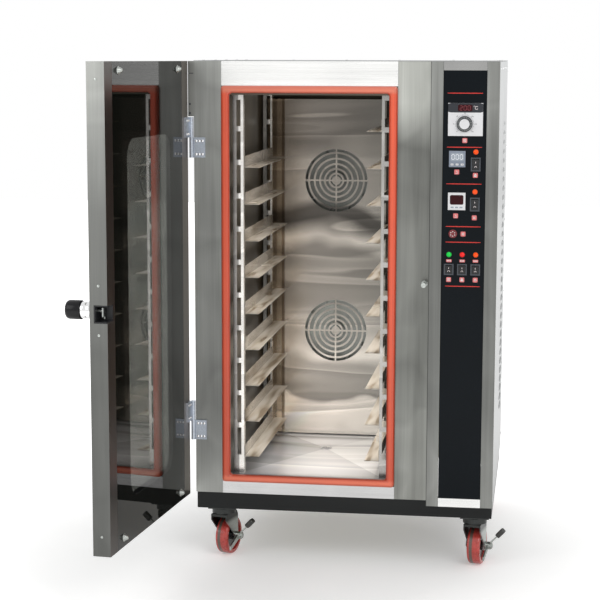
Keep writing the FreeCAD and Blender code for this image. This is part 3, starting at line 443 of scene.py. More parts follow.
# Painted light across the baffle: highlights over its folded left wing, then from the warm lit left to the
# grey right
PAINTED_WING_LIGHT = ((0.0, (1.5, 1.35, 1.15)), (0.5, (1.5, 1.35, 1.15)), (0.58, (2.6, 2.4, 2.1)),
              (0.8, (2.6, 2.4, 2.1)), (0.86, (1.2, 1.05, 0.9)), (0.98, (1.2, 1.05, 0.9)), (1.0, 1.0))
PAINTED_WARM_LIGHT = ((0.0, (1.6, 1.52, 1.42)), (0.3, (1.15, 1.12, 1.08)), (1.0, (0.84, 0.85, 0.83)))


def baffle_tone(tree, coord):
    """Painted light over the baffle: reflection bands up the sheet, highlights across it from the folded
    left wing to the grey right, and darker ring bars in the two grilles, which the spokes cross brightly."""
    fans = [np.mean(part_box(fan), axis=0) for fan in ("fan_lower", "fan_upper")]
    middle = fans[0][0]
    xyz = add(tree, "SeparateXYZ", [coord])
    flat = add(tree, "CombineXYZ", {"X": xyz["X"], "Z": xyz["Z"]})
    away = [add(tree, "VectorMath", [flat, (middle, 0.0, z)], operation="DISTANCE") for _, _, z in fans]
    near = add(tree, "Math", away, operation="MINIMUM")
    # Painted shade and highlight: the grille's ring bars are painted darker, and its spokes are painted
    # bright
    bars = add(tree, "MapRange", [near, 0.106, 0.112, 0.85, 1.0])
    least = add(tree, "Math", [off_by(tree, xyz["Z"], z) for _, _, z in fans], operation="MINIMUM")
    least = add(tree, "Math", [least, off_by(tree, xyz["X"], middle)], operation="MINIMUM")
    spoke = add(tree, "MapRange", [least, 0.0026, 0.0034, 1.0, 0.0])
    grille = add(tree, "Math", [bars, spoke], operation="MAXIMUM")
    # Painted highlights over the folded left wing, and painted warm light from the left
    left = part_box("fan_baffle")[0][0]
    fold = add(tree, "MapRange", [xyz["X"], left, left + 0.069])
    wing = add(tree, "ValToRGB", [fold], PAINTED_WING_LIGHT)
    breadth = add(tree, "MapRange", [xyz["X"], left + 0.07, left + 0.42])
    warm = add(tree, "ValToRGB", [breadth], PAINTED_WARM_LIGHT)
    return product(tree, up_sheet(tree, coord, BAFFLE_TONES), warm, grille, wing)


def tread_tone(tree, coord):
    """Painted light over the rails: the treads, which face up, are painted bright and the upright webs dark,
    the right side is painted lighter, and brown streaks lie along them in patches."""
    (left, _, _), (right, _, _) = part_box("cavity_top")
    up = add(tree, "SeparateXYZ", [add(tree, "NewGeometry")["Normal"]])["Z"]
    # Painted light: faces turned up are painted brighter than the upright webs, and the right side lighter
    flat = add(tree, "MapRange", [up, 0.3, 0.7, 0.36, 1.0])
    x = add(tree, "SeparateXYZ", [coord])["X"]
    side = add(tree, "MapRange", [x, left + 0.2, right - 0.2, 0.8, 1.25])
    tread = add(tree, "Math", [flat, side], operation="MULTIPLY")
    lay = add(tree, "Mapping", {"Vector": coord, "Scale": (MM / 26, MM / 260, MM / 60)})
    film = add(tree, "TexNoise", {"Vector": lay, "Scale": 1.0, "Detail": 1.0})
    brown = add(tree, "ValToRGB", [film],
                [(0.34, (0.5, 0.43, 0.35)), (0.46, (0.95, 0.92, 0.88)), (0.62, 1.15)])
    return product(tree, tread, brown)


def facet_tone(tree, coord):
    """Painted light over the floor: each of its four facets is painted lighter or darker by the way it leans
    towards the drain, and painted reflections of the foot of the baffle lie in bands across the back."""
    front, back = (corner[1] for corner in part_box("cavity_floor"))
    lean = add(tree, "SeparateXYZ", [add(tree, "NewGeometry")["True Normal"]])
    # Painted light: each facet is made lighter or darker by the way it leans
    side = add(tree, "MapRange", [lean["X"], -0.04, 0.04, 1.2, 0.7])
    depth = add(tree, "MapRange", [lean["Y"], -0.04, 0.03, 1.1, 1.0])
    facet = add(tree, "Math", [side, depth], operation="MULTIPLY")
    far = add(tree, "MapRange", [add(tree, "SeparateXYZ", [coord])["Y"], front, back])
    return product(tree, facet, add(tree, "ValToRGB", [far], FLOOR_TONES))


def rack_tone(tree, coord):
    """Painted light over the rack posts: on the left the strip inside the slots is painted bright and the
    strip behind them painted dark, and the right posts are painted darker."""
    (left, _, _), (right, _, _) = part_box("cavity_top")
    x = add(tree, "SeparateXYZ", [coord])["X"]
    # Painted light and shade: the strip near the wall is painted dark, the strip inside it bright
    strip = add(tree, "MapRange", [x, left + 0.03, left + 0.034, 0.35])
    side = add(tree, "MapRange", [x, left + 0.1, right - 0.1, 1.0, 0.5])
    return add(tree, "Math", [strip, side], operation="MULTIPLY")


def grained(name, colour, spread, grain_mm, rough, relief=0.1, tone_of=None, **sockets):
    """A moulded, painted, printed or plated surface: a fine even grain in tone, gloss and relief, over slow
    changes of tone. Spread is how far the tone goes each way, and tone_of gives a further factor."""
    mat, tree, shader, coord = start(name, **sockets)
    fine = add(tree, "TexNoise", {"Vector": coord, "Scale": MM / grain_mm, "Detail": 2.0})
    cloud = add(tree, "TexNoise", {"Vector": coord, "Scale": MM / 110, "Detail": 2.0})
    both = add(tree, "Mix", {0: 0.5, 2: fine, 3: cloud}, data_type="FLOAT")
    base = add(tree, "ValToRGB", [both],
               [(0.35, shade(colour, 1 - spread)), (0.65, shade(colour, 1 + spread))])
    if tone_of:
        base = product(tree, base, tone_of(tree, coord))
    surface(tree, shader, base, both, rough - 0.04, rough + 0.06, fine, relief)
    return mat


def beyond(tree, place, low, high, radius=0.0):
    """How far a place lies beyond the sides of an upright rectangle, in X and in Z, where minus is inside.
    The rectangle is drawn in by a radius first."""
    middle = ((low[0] + high[0]) / 2, 0.0, (low[2] + high[2]) / 2)
    half = ((high[0] - low[0]) / 2 - radius, 0.0, (high[2] - low[2]) / 2 - radius)
    flat = add(tree, "CombineXYZ", {"X": place["X"], "Z": place["Z"]})
    off = add(tree, "VectorMath", [flat, middle], operation="SUBTRACT")
    off = add(tree, "VectorMath", [off], operation="ABSOLUTE")
    return add(tree, "VectorMath", [off, half], operation="SUBTRACT")


# Painted highlight and shade of the gasket across its bead and up its height, palest along the top and foot
PAINTED_BEAD_LIGHT = ((0.0, (0.78, 0.66, 0.66)), (0.3, 1.0), (0.5, (1.1, 1.1, 1.05)), (0.62, 1.0),
              (1.0, (0.85, 0.72, 0.72)))
PAINTED_RUN_LIGHT = ((0.0, (1.05, 1.7, 2.2)), (0.012, (1.05, 1.7, 2.2)), (0.02, (0.82, 0.78, 0.75)), (0.5, 1.0),
             (0.98, 1.0), (0.988, (0.93, 1.85, 2.7)), (1.0, (0.93, 1.85, 2.7)))


def bead_tone(tree, coord):
    """Painted light over the gasket: a highlight painted along the crown of the bead, shade on its flanks,
    and the palest highlight along the top and the foot of the mouth."""
    bead = 0.0255
    low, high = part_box("gasket")
    xyz = add(tree, "SeparateXYZ", [coord])
    off = add(tree, "SeparateXYZ", [beyond(tree, xyz, low, high)])
    out = add(tree, "Math", [off["X"], off["Z"]], operation="MAXIMUM")
    # Painted highlight along the crown of the bead, and painted shade on its flanks
    crown = add(tree, "MapRange", [out, -bead, 0.0])
    height = add(tree, "MapRange", [xyz["Z"], low[2], high[2]])
    run = add(tree, "ValToRGB", [height], PAINTED_RUN_LIGHT)
    return product(tree, add(tree, "ValToRGB", [crown], PAINTED_BEAD_LIGHT), run)


def pane(name, light, dark, haze_mm, window=None):
    """Float glass: smooth both sides, with a body tint that wanders a little and a thin film of dust that
    shows as patches of lower gloss. Outside a rounded window, drawn on the door as left, right, low, top
    and corner radius, the glass is printed black."""
    mat, tree, shader, coord = start(name, Transmission_Weight=1.0, IOR=1.52, Specular_IOR_Level=0.27)
    haze = add(tree, "TexNoise", {"Vector": coord, "Scale": MM / haze_mm, "Detail": 3.0})
    base = add(tree, "ValToRGB", [haze], [(0.3, dark), (0.7, light)])
    if window:
        left, right, low, top, corner = window
        r = corner / MM
        blur = 0.001
        off = beyond(tree, door_space(tree, coord), here([left, 0, low]), here([right, 0, top]), r)
        off = add(tree, "VectorMath", [off, (0.0, 0.0, 0.0)], operation="MAXIMUM")
        far = add(tree, "VectorMath", [off], operation="LENGTH")
        clear = add(tree, "MapRange", [far, r - blur, r + blur, 1.0, 0.0])
        base = add(tree, "Mix", {0: clear, 6: linear("#121310"), 7: base}, data_type="RGBA")
        feed(tree, shader, {"Transmission Weight": clear})
    surface(tree, shader, base, haze, 0.0, 0.05)
    return mat


def fork_plate(name, colour, joint):
    """Zinc plate of a castor's fork, mottled by its crystals, with painted light and shade: painted bright
    on the leg beside the brake, and painted dark on the crown and the other leg, as if in shade."""
    mat, tree, shader, coord = start(name, Metallic=0.9)
    xyz = wheel_space(tree, coord, joint)
    fine = add(tree, "TexNoise", {"Vector": coord, "Scale": MM / 3, "Detail": 3.0})
    tone = add(tree, "ValToRGB", [fine], [(0.3, shade(colour, 0.75)), (0.7, shade(colour, 1.15))])
    # Painted shade: all but the lower brake-side leg is painted dark, as if in the shade of the base
    leg = add(tree, "MapRange", [xyz["X"], 0.020, 0.024])
    low = add(tree, "MapRange", [xyz["Z"], 0.055, 0.07, 1.0, 0.0])
    lit = add(tree, "Math", [leg, low], operation="MULTIPLY")
    lit = add(tree, "MapRange", {0: lit, 3: 0.1})
    surface(tree, shader, product(tree, tone, lit), fine, 0.24, 0.4)
    return mat


def lens(name, colour, glow):
    """Coloured acrylic lens of a lit pilot lamp: glossy, moulded with fine ribs 3 mm apart, glowing a
    little."""
    mat, tree, shader, coord = start(name, Roughness=0.16, Specular_IOR_Level=0.3, Emission_Strength=glow)
    ribs = add(tree, "TexWave", {"Vector": coord, "Scale": 314.0 / 3, "Distortion": 0.4})["Fac"]
    tone = add(tree, "ValToRGB", [ribs], [(0.2, shade(colour, 0.7)), (0.8, shade(colour, 1.0))])
    relief = add(tree, "Bump", {"Height": ribs, "Strength": 0.1, "Distance": 0.0003})
    feed(tree, shader, {"Base Color": tone, "Emission Color": tone, "Normal": relief})
    return mat


def tyre(name, colour, joint):
    """Castor wheel: red polyurethane cast on a dark centre, with a grey band of worn tread beside the
    middle. Width across the wheel and radius from its axle are read in the wheel's own turned
    coordinates."""
    mat, tree, shader, coord = start(name, Specular_IOR_Level=0.5, Coat_Weight=0.3, Coat_Roughness=0.12)
    xyz = wheel_space(tree, coord, joint)
    spoke = add(tree, "CombineXYZ", {"Y": xyz["Y"], "Z": xyz["Z"]})
    radius = add(tree, "VectorMath", [spoke], operation="LENGTH")
    grime = add(tree, "TexNoise", {"Vector": coord, "Scale": MM / 14, "Detail": 4.0})
    red = add(tree, "ValToRGB", [grime], [(0.3, shade(colour, 0.8)), (0.7, shade(colour, 1.1))])
    band = add(tree, "MapRange", [off_by(tree, xyz["X"], -0.008), 0.0048, 0.0058, 1.0, 0.0])
    tread = add(tree, "Mix", {0: band, 6: red, 7: linear("#6a5b52")}, data_type="RGBA")
    core = add(tree, "MapRange", [radius, 0.0475, 0.0485, 1.0, 0.0])
    whole = add(tree, "Mix", {0: core, 6: tread, 7: linear("#262525")}, data_type="RGBA")
    surface(tree, shader, whole, grime, 0.2, 0.36, grime, 0.1, 0.0004)
    return mat


# Painted light and shade up the sheet, as share of the height and factor
LEFT_TONES = ((0.03, 1.5), (0.2, 0.86), (0.45, 1.1), (0.68, 1.2), (0.92, 1.7))
RIGHT_TONES = ((0.02, 1.45), (0.1, 1.3), (0.33, 0.78), (0.57, 1.0), (0.8, 0.96), (0.92, 2.6))
COLUMN_TONES = ((0.02, 1.15), (0.25, 0.74), (0.5, 0.76), (0.75, 0.8), (0.92, 1.45))
DOOR_TONES = ((0.02, 0.52), (0.4, 0.66), (0.7, 1.0), (0.92, 1.75))
EVEN_TONES = ((0.05, 0.94), (0.5, 1.0), (0.9, 1.04))
CASING_TONES = ((0.05, 0.45), (0.3, 0.46), (0.5, 0.54), (0.7, 0.66), (0.92, 0.98))
TRIM_TONES = ((0.05, 0.82), (0.5, 0.6), (0.92, 0.32))
# Painted shade: the cavity's walls are darker towards the foot, and the upper fan darker than the lower
WALL_TONES = ((0.05, 0.25), (0.5, 0.3), (0.9, 0.35))
FAN_TONES = ((0.3, 0.7), (0.48, 0.6), (0.6, 0.3))
# Painted reflection of the room before the oven in the polished baffle, in a few bands: pale at the foot,
# dark above the middle
BAFFLE_TONES = ((0.05, 2.5), (0.14, 1.7), (0.15, 0.65), (0.235, 0.7), (0.26, 1.3), (0.36, 0.6), (0.5, 0.42),
                (0.53, 0.95), (0.575, 0.13), (0.605, 0.15), (0.63, 0.55), (0.75, 0.6), (0.8, 0.3),
                (0.9, 0.48))
# Painted reflection bands from the front of the floor to its back, as share of the depth and factor
FLOOR_TONES = ((0.0, 0.75), (0.25, 1.05), (0.62, 1.05), (0.68, 0.6), (0.72, 1.0), (0.78, 1.05), (0.83, 0.4),
               (0.86, 0.95), (0.91, 0.35), (0.96, 1.0))

# Plain finishes: name, colour, spread of tone, grain in millimetres, roughness, relief and constant values
PLAIN = {
    # Moulded nylon has a fine tooth and half a gloss
    "black": ("Moulded black nylon", "#1d1e20", 0.15, 0.8, 0.36, 0.1, {"Specular_IOR_Level": 0.35}),
    "bezel": ("Moulded grey nylon", "#3f454c", 0.15, 0.8, 0.25, 0.05, {}),
    # Compression-moulded phenolic takes a deep gloss
    "grip": ("Moulded black phenolic", "#0f0f12", 0.15, 0.9, 0.24, 0.03, {"Specular_IOR_Level": 0.25}),
    # Moulded ABS is even in tone and softly glossy
    "white": ("Moulded white ABS", "#eeeef0", 0.03, 0.8, 0.35, 0.05, {}),
    "blue": ("Moulded grey-blue ABS", "#8b94a3", 0.06, 0.8, 0.35, 0.05, {}),
    "buzzer": ("Moulded dark red ABS", "#7c2228", 0.1, 0.8, 0.3, 0.03, {}),
    # Chromium plate is a clear mirror; zinc is duller and mottled by its crystals
    "chrome": ("Chromium plate", "#e6e6e6", 0.05, 1.5, 0.1, 0.01, {"Metallic": 1.0}),
    "zinc": ("Bright zinc plate", "#a9ada9", 0.3, 3.0, 0.28, 0.08, {"Metallic": 1.0}),
    "dark zinc": ("Black zinc plate", "#3a3c3b", 0.3, 3.0, 0.36, 0.1, {"Metallic": 0.7}),
    "hinge": ("Blue zinc plate", "#aeb5bf", 0.35, 3.0, 0.3, 0.08, {"Metallic": 0.8}),
    # A heater's sheath is scaled dull by its own heat
    "sheath": ("Dulled heater sheath", "#4b4744", 0.25, 2.0, 0.5, 0.1, {"Metallic": 0.8}),
    # Sprayed enamel on a motor is half glossy, with a slight peel
    "enamel": ("Black motor enamel", "#262829", 0.15, 1.2, 0.4, 0.12, {}),
    # Mineral wool is a matt felt of coarse fibres
    "wool": ("Mineral wool", "#a1945f", 0.2, 4.0, 0.9, 0.6, {}),
    # Rubber on the brake levers is dull and dusty
    "rubber": ("Moulded lever rubber", "#474745", 0.18, 2.0, 0.6, 0.2, {}),
    # Screen printing ink lies flat with a slight tooth
    "red ink": ("Red screen ink", "#e2382f", 0.08, 0.6, 0.42, 0.02, {}),
    "pale red ink": ("Pale red screen ink", "#e87f7f", 0.08, 0.6, 0.42, 0.02, {}),
    "white ink": ("White screen ink", "#f4e9e8", 0.04, 0.6, 0.42, 0.02, {}),
    "dark ink and painted shade": ("Dark screen ink", "#303238", 0.1, 0.6, 0.4, 0.02, {}),
    # Smoked acrylic is smooth and deep in colour
    "band": ("Smoked acrylic band", "#34373d", 0.08, 0.8, 0.2, 0.01, {"Specular_IOR_Level": 0.3}),
    "display": ("Smoked red acrylic window", "#3a1015", 0.1, 0.8, 0.14, 0.01, {"Specular_IOR_Level": 0.12}),
    # A liquid crystal lies under a glossy film, and segments of a display are flat and even
    "lcd": ("Liquid crystal window", "#a3adb8", 0.05, 0.8, 0.16, 0.01, {"Coat_Weight": 0.3}),
    "red digit": ("Lit red segments", "#8a3a42", 0.1, 0.6, 0.4, 0.01, {}),
    "pale digit": ("Pale segments", "#eef1f5", 0.04, 0.6, 0.4, 0.01, {}),
}
LENSES = {"green": "#08cf48", "red": "#f01f1c", "amber": "#fb5208"}


def make_materials(c):
    """Every finish of the oven, kept by a short name."""
    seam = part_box("column_posts")[0][0]
    wall_tone = partial(up_sheet, tones=WALL_TONES)
    fan_tone = partial(up_sheet, tones=FAN_TONES)
    window = (185.0, 590.0, STEEL_Z + 130.0, TOP_Z - 228.0, 60.0)
    MAT.update({
        # Belt-ground sheet scatters light along the belt, so its reflections are soft and drawn out
        "post": brushed("Brushed stainless post", c.sheet, LEFT_TONES, 1.6, "Z", 0.3, 0.2),
        "right post": brushed("Brushed stainless latch post", c.right_sheet, RIGHT_TONES, 1.6, "Z", 0.3, 0.18,
                              seam=seam),
        "column": brushed("Brushed stainless column", c.sheet, COLUMN_TONES, 1.6, "Z", 0.3, 0.16, seam=seam),
        "door": brushed("Brushed stainless door", c.sheet, DOOR_TONES, 1.6, "Z", 0.3, 0.1, c.door_inside),
        "casing": brushed("Brushed stainless casing", c.casing, CASING_TONES, 2.0, "Z", 0.36, 0.035),
        # The roof is the casing colour painted darker, as painted shade, so that it does not wash out under
        # the lamps above
        "roof": brushed("Brushed stainless roof", shade(c.casing, 0.62), EVEN_TONES, 2.0, "Y", 0.42, 0.035),
        # Bright rolled sheet is nearer to a mirror, with a faint lay along the roll
        "bright": brushed("Bright rolled stainless", c.bright, EVEN_TONES, 1.6, "X", 0.26, 0.06),
        "sill": brushed("Bright rolled stainless sill", c.sill, EVEN_TONES, 1.6, "X", 0.28, 0.06),
        "trim": brushed("Bright rolled stainless trim", c.bright, TRIM_TONES, 1.6, "X", 0.26, 0.06),
        # Buckled polished sheet mirrors the oven mouth in bands, which are also painted into its colour as
        # reflections
        "baffle": buckled("Polished stainless baffle", c.baffle, 130.0, "Z", 0.2, 0.45, 0.006, 0.85,
                          baffle_tone),
        "wall": buckled("Polished stainless cavity wall", c.wall, 220.0, "Y", 0.3, 0.3, 0.0005, 0.7,
                        wall_tone),
        "fan": buckled("Polished stainless fan wheel", c.fan, 220.0, "Y", 0.35, 0.2, 0.001, 0.5, fan_tone),
        "soot": buckled("Smoked stainless sheet", linear("#3c382f"), 220.0, "Y", 0.35, 0.3, 0.002, 0.8),
        "floor": buckled("Polished stainless cavity floor", c.floor, 260.0, "Y", 0.14, 0.3, 0.003, 0.42,
                         facet_tone),
        "rail": buckled("Polished stainless shelf rail", c.rail, 300.0, "X", 0.24, 0.2, 0.0004, 0.35,
                        tread_tone),
        "rack": buckled("Polished stainless rack post", c.rack, 260.0, "Z", 0.24, 0.3, 0.001, 0.9, rack_tone),
        # Powder coat is slightly pebbled and only half glossy
        "base": grained("Black powder coat", c.base, 0.12, 1.2, 0.42, 0.15, Specular_IOR_Level=0.25),
        # Extruded silicone has a soft even sheen
        "gasket": grained("Extruded silicone", c.gasket, 0.06, 2.5, 0.28, 0.05, bead_tone,
                          Specular_IOR_Level=0.6),
        # A printed polycarbonate fascia is smooth and nearly black
        "fascia": grained("Printed polycarbonate fascia", c.fascia, 0.12, 1.0, 0.26, 0.02,
                          Specular_IOR_Level=0.1),
        # Float glass mirrors faintly and shows what is behind it through its tint
        "tinted glass": pane("Tinted float glass", shade(c.glass, 1.1), shade(c.glass, 0.8), 160.0, window),
        "clear glass": pane("Clear float glass", linear("#e9eeec"), linear("#d9e1dd"), 90.0),
    })
    for key, (name, tint, *numbers, sockets) in PLAIN.items():
        MAT[key] = grained(name, linear(tint), *numbers, **sockets)
    # Moulded acrylic lenses are lit from behind and mirror the room in a small point
    for key, tint in LENSES.items():
        MAT[key + " lens"] = lens(key.capitalize() + " acrylic lens", linear(tint), 0.4)


ROCKERS = ("rocker_bake", "rocker_steam", "rocker_heat", "rocker_fan", "rocker_lamp")
FINISH = {
    "post": ("left_post",),
    "right post": ("right_post",),
    "column": ("column_posts",),
    "door": ("door_frame",),
    "casing": ("left_panel", "right_panel", "back_panel"),
    "roof": ("top_panel",),
    "bright": ("header",),
    "trim": ("column_trims",),
    "sill": ("sill",),
    "wall": ("mouth_frame", "cavity_sides"),
    "fan": ("fan_lower", "fan_upper"),
    "soot": ("cavity_top", "cavity_back"),
    "baffle": ("fan_baffle",),
    "floor": ("cavity_floor",),
    "rail": ("shelf_rails",),
    "rack": ("rack_posts",),
    "base": ("base_frame",),
    "enamel": ("fan_motors",),
    "gasket": ("gasket",),
    "fascia": ("control_panel",),
    "bezel": ("panel_fittings",),
    "black": (*ROCKERS, "latch_housing"),
    "grip": ("handle_grip",),
    "white": ("temperature_controller", "temperature_dial", "steam_timer", "button_set", "button_up",
              "button_start"),
    "blue": ("baking_timer",),
    "chrome": ("handle_collar", "pilot_lamps"),
    "zinc": ("rear_castors", "brake_left", "brake_right", "latch_hook", "keeper"),
    "hinge": ("hinge_post_halves", "hinge_door_halves"),
    "dark zinc": ("castor_heads",),
    "sheath": ("heater_rings",),
    "wool": ("insulation",),
    "tinted glass": ("inner_glass",),
    "clear glass": ("outer_glass",),
}
CORNERS = ("front_left", "front_right", "rear_left", "rear_right")


# Settings

def colour_setting(name, description, hex_colour):
    """A colour that a user can change."""
    return bpy.props.FloatVectorProperty(name=name, description=description, subtype="COLOR", size=3, min=0.0,
                                         max=1.0, default=linear(hex_colour)[:3])


def length_setting(name, description, metres):
    """A length that a user can change."""
    return bpy.props.FloatProperty(name=name, description=description, unit="LENGTH", min=0.0, default=metres)


class OvenColours(bpy.types.PropertyGroup):
    """Colours of the oven's main surfaces"""
    sheet: colour_setting("Sheet", "Brushed sheet of the posts and door", "#7a7b78")
    right_sheet: colour_setting("Latch post", "Brushed sheet of the post beside the column", "#757672")
    door_inside: colour_setting("Door inside", "Heat-darkened inner face of the door frame", "#4a4541")
    casing: colour_setting("Casing", "Side, back and top sheets", "#ced0d0")
    bright: colour_setting("Bright sheet", "Header and column ends", "#f0f0ee")
    sill: colour_setting("Sill", "Sheet under the oven mouth", "#cecece")
    baffle: colour_setting("Baffle", "Sheet in front of the fans", "#a29d97")
    wall: colour_setting("Cavity wall", "Side sheets of the cavity", "#9c9484")
    fan: colour_setting("Fan wheels", "Bladed wheels behind the baffle", "#a4a9a6")
    floor: colour_setting("Cavity floor", "Sheet under the shelves", "#e3e6ec")
    rail: colour_setting("Rails", "Shelf rails", "#f1ece2")
    rack: colour_setting("Rack posts", "Posts that carry the rails", "#e4e1dc")
    gasket: colour_setting("Gasket", "Silicone seal round the mouth", "#f96543")
    base: colour_setting("Base", "Painted base frame", "#191b1b")
    fascia: colour_setting("Fascia", "Control fascia", "#0b1116")
    tyre: colour_setting("Tyre", "Castor tyres", "#cc4a42")
    glass: colour_setting("Glass", "Body tint of the inner door glass", "#6b6a66")


class OvenSizes(bpy.types.PropertyGroup):
    """Sizes of the small fittings"""
    line_half: length_setting("Line", "Half the width of a printed line on the fascia", 0.0014)
    square_half: length_setting("Pictogram", "Half the side of a pictogram's square", 0.0078)
    hinge_screw: length_setting("Hinge screw", "Radius of a hinge screw's head", 0.0044)
    edge_rivet: length_setting("Edge rivet", "Radius of a rivet on the door's edge", 0.0042)
    glass_bolt: length_setting("Glass bolt", "Radius of the washer under a bolt of the door glass", 0.0125)
    lens: length_setting("Lens", "Radius of a pilot lamp's lens", 0.0082)
    casing_screw: length_setting("Casing screw", "Radius of a casing screw's head", 0.0045)
    pad: length_setting("Lever pad", "Length of the rubber on a brake lever", 0.032)


# Pieces

class OVEN_OT_finishes(bpy.types.Operator):
    """Give every piece of the frame its finish"""
    bl_idname = "oven.finishes"
    bl_label = "Finishes"

    def execute(self, context):
        colours = context.scene.oven_colours
        make_materials(colours)
        chosen = {name: MAT[key] for key, names in FINISH.items() for name in names}
        for corner in CORNERS:
            name = "Polyurethane tyre " + corner.replace("_", " ")
            chosen["wheel_" + corner] = tyre(name, colours.tyre, "roll_" + corner)
        for side in ("left", "right"):
            name = "Zinc plate, fork " + side
            chosen["fork_" + side] = fork_plate(name, linear("#b4b8b5"), "roll_front_" + side)
        missing = set(NODES) - set(chosen)
        if missing:
            raise RuntimeError("no finish for " + ", ".join(sorted(missing)))
        for name, mat in chosen.items():
            for slot in NODES[name].material_slots:
                slot.material = mat
        return {"FINISHED"}


class OVEN_OT_door_fasteners(bpy.types.Operator):
    """Hinge screws, rivets on the door's edge and the bolts of its glass"""
    bl_idname = "oven.door_fasteners"
    bl_label = "Door fasteners"

    def execute(self, context):
        sizes = context.scene.oven_sizes
        inward, sideways = door_way((0, 1, 0)), door_way((1, 0, 0))
        screw = dome(sizes.hinge_screw * MM, 2.2)
        grid = [(x, row) for row in (11.0, 55.0) for x in (8.5, 19.0, 29.5)]
        post = [(x, -LEAF_T, z - LEAF_GAP - LEAF_H + row) for z in HINGE_Z for x, row in grid]
        piece("hinge_post_screws", turned(here(post), screw, 16), "chrome", "cabinet", True)
        leaf = [(x, DOOR_IN + LEAF_T, z + row) for z in HINGE_Z for x, row in grid]
        piece("hinge_door_screws", turned(on_door(leaf), screw, 16, inward), "chrome", "door", True)
        # A washer, a nut on it, and the end of the bolt
        bolts = [(x, DOOR_IN, z) for x in (107.0, 658.0) for z in (TOP_Z - 26, STEEL_Z + 26)]
        r = sizes.glass_bolt * MM
        bolt = [(r, 0.0), (r, 1.6), (r * 0.72, 1.8), (r * 0.72, 7.4), (r * 0.5, 8.0), (r * 0.5, 11.0),
                (r * 0.4, 13.4), (r * 0.1, 14.2)]
        piece("glass_bolts", turned(on_door(bolts), bolt, 24, inward), "zinc", "door", True)
        edge = [(DOOR_W, DOOR_MID, z) for z in (TOP_Z - 50.5, TOP_Z - 642.8, TOP_Z - 787.6, STEEL_Z + 56.1)]
        rivets = turned(on_door(edge), dome(sizes.edge_rivet * MM, 2.0), 18, sideways)
        piece("door_edge_rivets", rivets, "zinc", "door", True)
        plugs = [(-13.0, 0.0, TOP_Z - drop, 3.3, 3.3, 0) for drop in (140.0, 170.0)]
        seam = [(-9.5, 0.0, TOP_Z - 40.0, 9.3, 1.3, 0)]
        piece("ear_plugs", marks(plugs + seam, 0.3, 16, 3.0), "dark ink and painted shade", "cabinet")
        return {"FINISHED"}


class OVEN_OT_handle(bpy.types.Operator):
    """Turned grip with a rounded end, on a grooved collar"""
    bl_idname = "oven.handle"
    bl_label = "Handle"

    def execute(self, context):
        outer_face = 2 * DOOR_MID - DOOR_IN
        foot = on_door([[DOOR_W - LATCH_IN, outer_face - 0.4, HALF_UP + LATCH_UP]])
        outward = door_way((0, -1, 0))
        ring = [(24.0, 0.0), (24.0, 3.0), (25.2, 4.0), (25.2, 14.0), (24.2, 15.0), (24.2, 17.0), (25.2, 18.0),
                (25.2, 33.0), (24.4, 34.4)]
        collar = turned(foot, ring, 48, outward)
        collar = piece("collar_turned", collar, "chrome", "handle", True)
        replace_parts(collar, "handle_collar")
        knob = [(22.0, 34.5), (27.6, 34.5), (28.4, 36.0), (28.4, 70.0), (27.4, 75.5), (24.2, 80.0),
                (17.6, 82.4), (4.0, 83.0)]
        grip = turned(foot, knob, 48, outward)
        grip = piece("grip_turned", grip, "grip", "handle", True)
        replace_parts(grip, "handle_grip")
        return {"FINISHED"}


# Printed lines, pictogram squares and tabs on the fascia: across from its middle and down from its datum
LINES = (93.6, 264.4, 381.2, 517.9, 568.2, 710.7)
SQUARES = ((0.7, 243.2), (-23.3, 343.2), (35.8, 353.3), (-24.8, 483.5), (34.7, 489.0), (-0.3, 541.7),
           (-44.3, 689.5), (-1.8, 689.5), (40.7, 689.5))
TABS = ((-44.3, 628.5), (-1.8, 628.5), (40.7, 628.5))

# Plain pictograms, each of a few marks: across, up, half width, half height and turn
RAYS = [(0, 0, 5.0, 0.9, turn) for turn in (0, 60, 120)]
BARS = [(0, up, 5.0, 0.9, 0) for up in (-3.4, 0, 3.4)]
CROSS = [(0, 0, 5.0, 1.1, 45), (0, 0, 5.0, 1.1, -45)]
HOUSE = [(0, -2.0, 4.2, 2.8, 0), (0, 2.2, 2.6, 2.6, 45)]
CLOCK = [(0, 1.6, 0.9, 2.8, 0), (1.8, -0.6, 2.6, 0.9, 0), (0, -4.6, 4.0, 0.7, 0)]
SIGNS = (BARS, CLOCK, HOUSE, CLOCK, CROSS, RAYS, BARS, HOUSE, RAYS)


class OVEN_OT_fascia_print(bpy.types.Operator):
    """Printed lines and plain pictograms on the control fascia"""
    bl_idname = "oven.fascia_print"
    bl_label = "Fascia print"

    def execute(self, context):
        sizes = context.scene.oven_sizes
        half, s = sizes.line_half * MM, sizes.square_half * MM
        lines = [(MID, FACE_Y, DATUM - down, 56.0, half, 0) for down in LINES]
        piece("fascia_lines", marks(lines), "red ink", "cabinet")
        squares = [(MID + x, FACE_Y, DATUM - down, s, s, 0) for x, down in SQUARES]
        squares += [(MID + x, FACE_Y, DATUM - down, s + 1, 4.6, 0) for x, down in TABS]
        piece("pictogram_squares", marks(squares, 0.2, 20, 10.0), "pale red ink", "cabinet")
        y = FACE_Y - 0.2
        signs = [(MID + x + dx, y, DATUM - down + up, *rest)
                 for (x, down), sign in zip(SQUARES, SIGNS) for dx, up, *rest in sign]
        signs += [(MID + x + dx, y, DATUM - down, 1.6, 2.4, 0) for x, down in TABS for dx in (-4.6, 0, 4.6)]
        piece("pictograms", marks(signs, 0.2, 12, 6.0), "white ink", "cabinet")
        return {"FINISHED"}


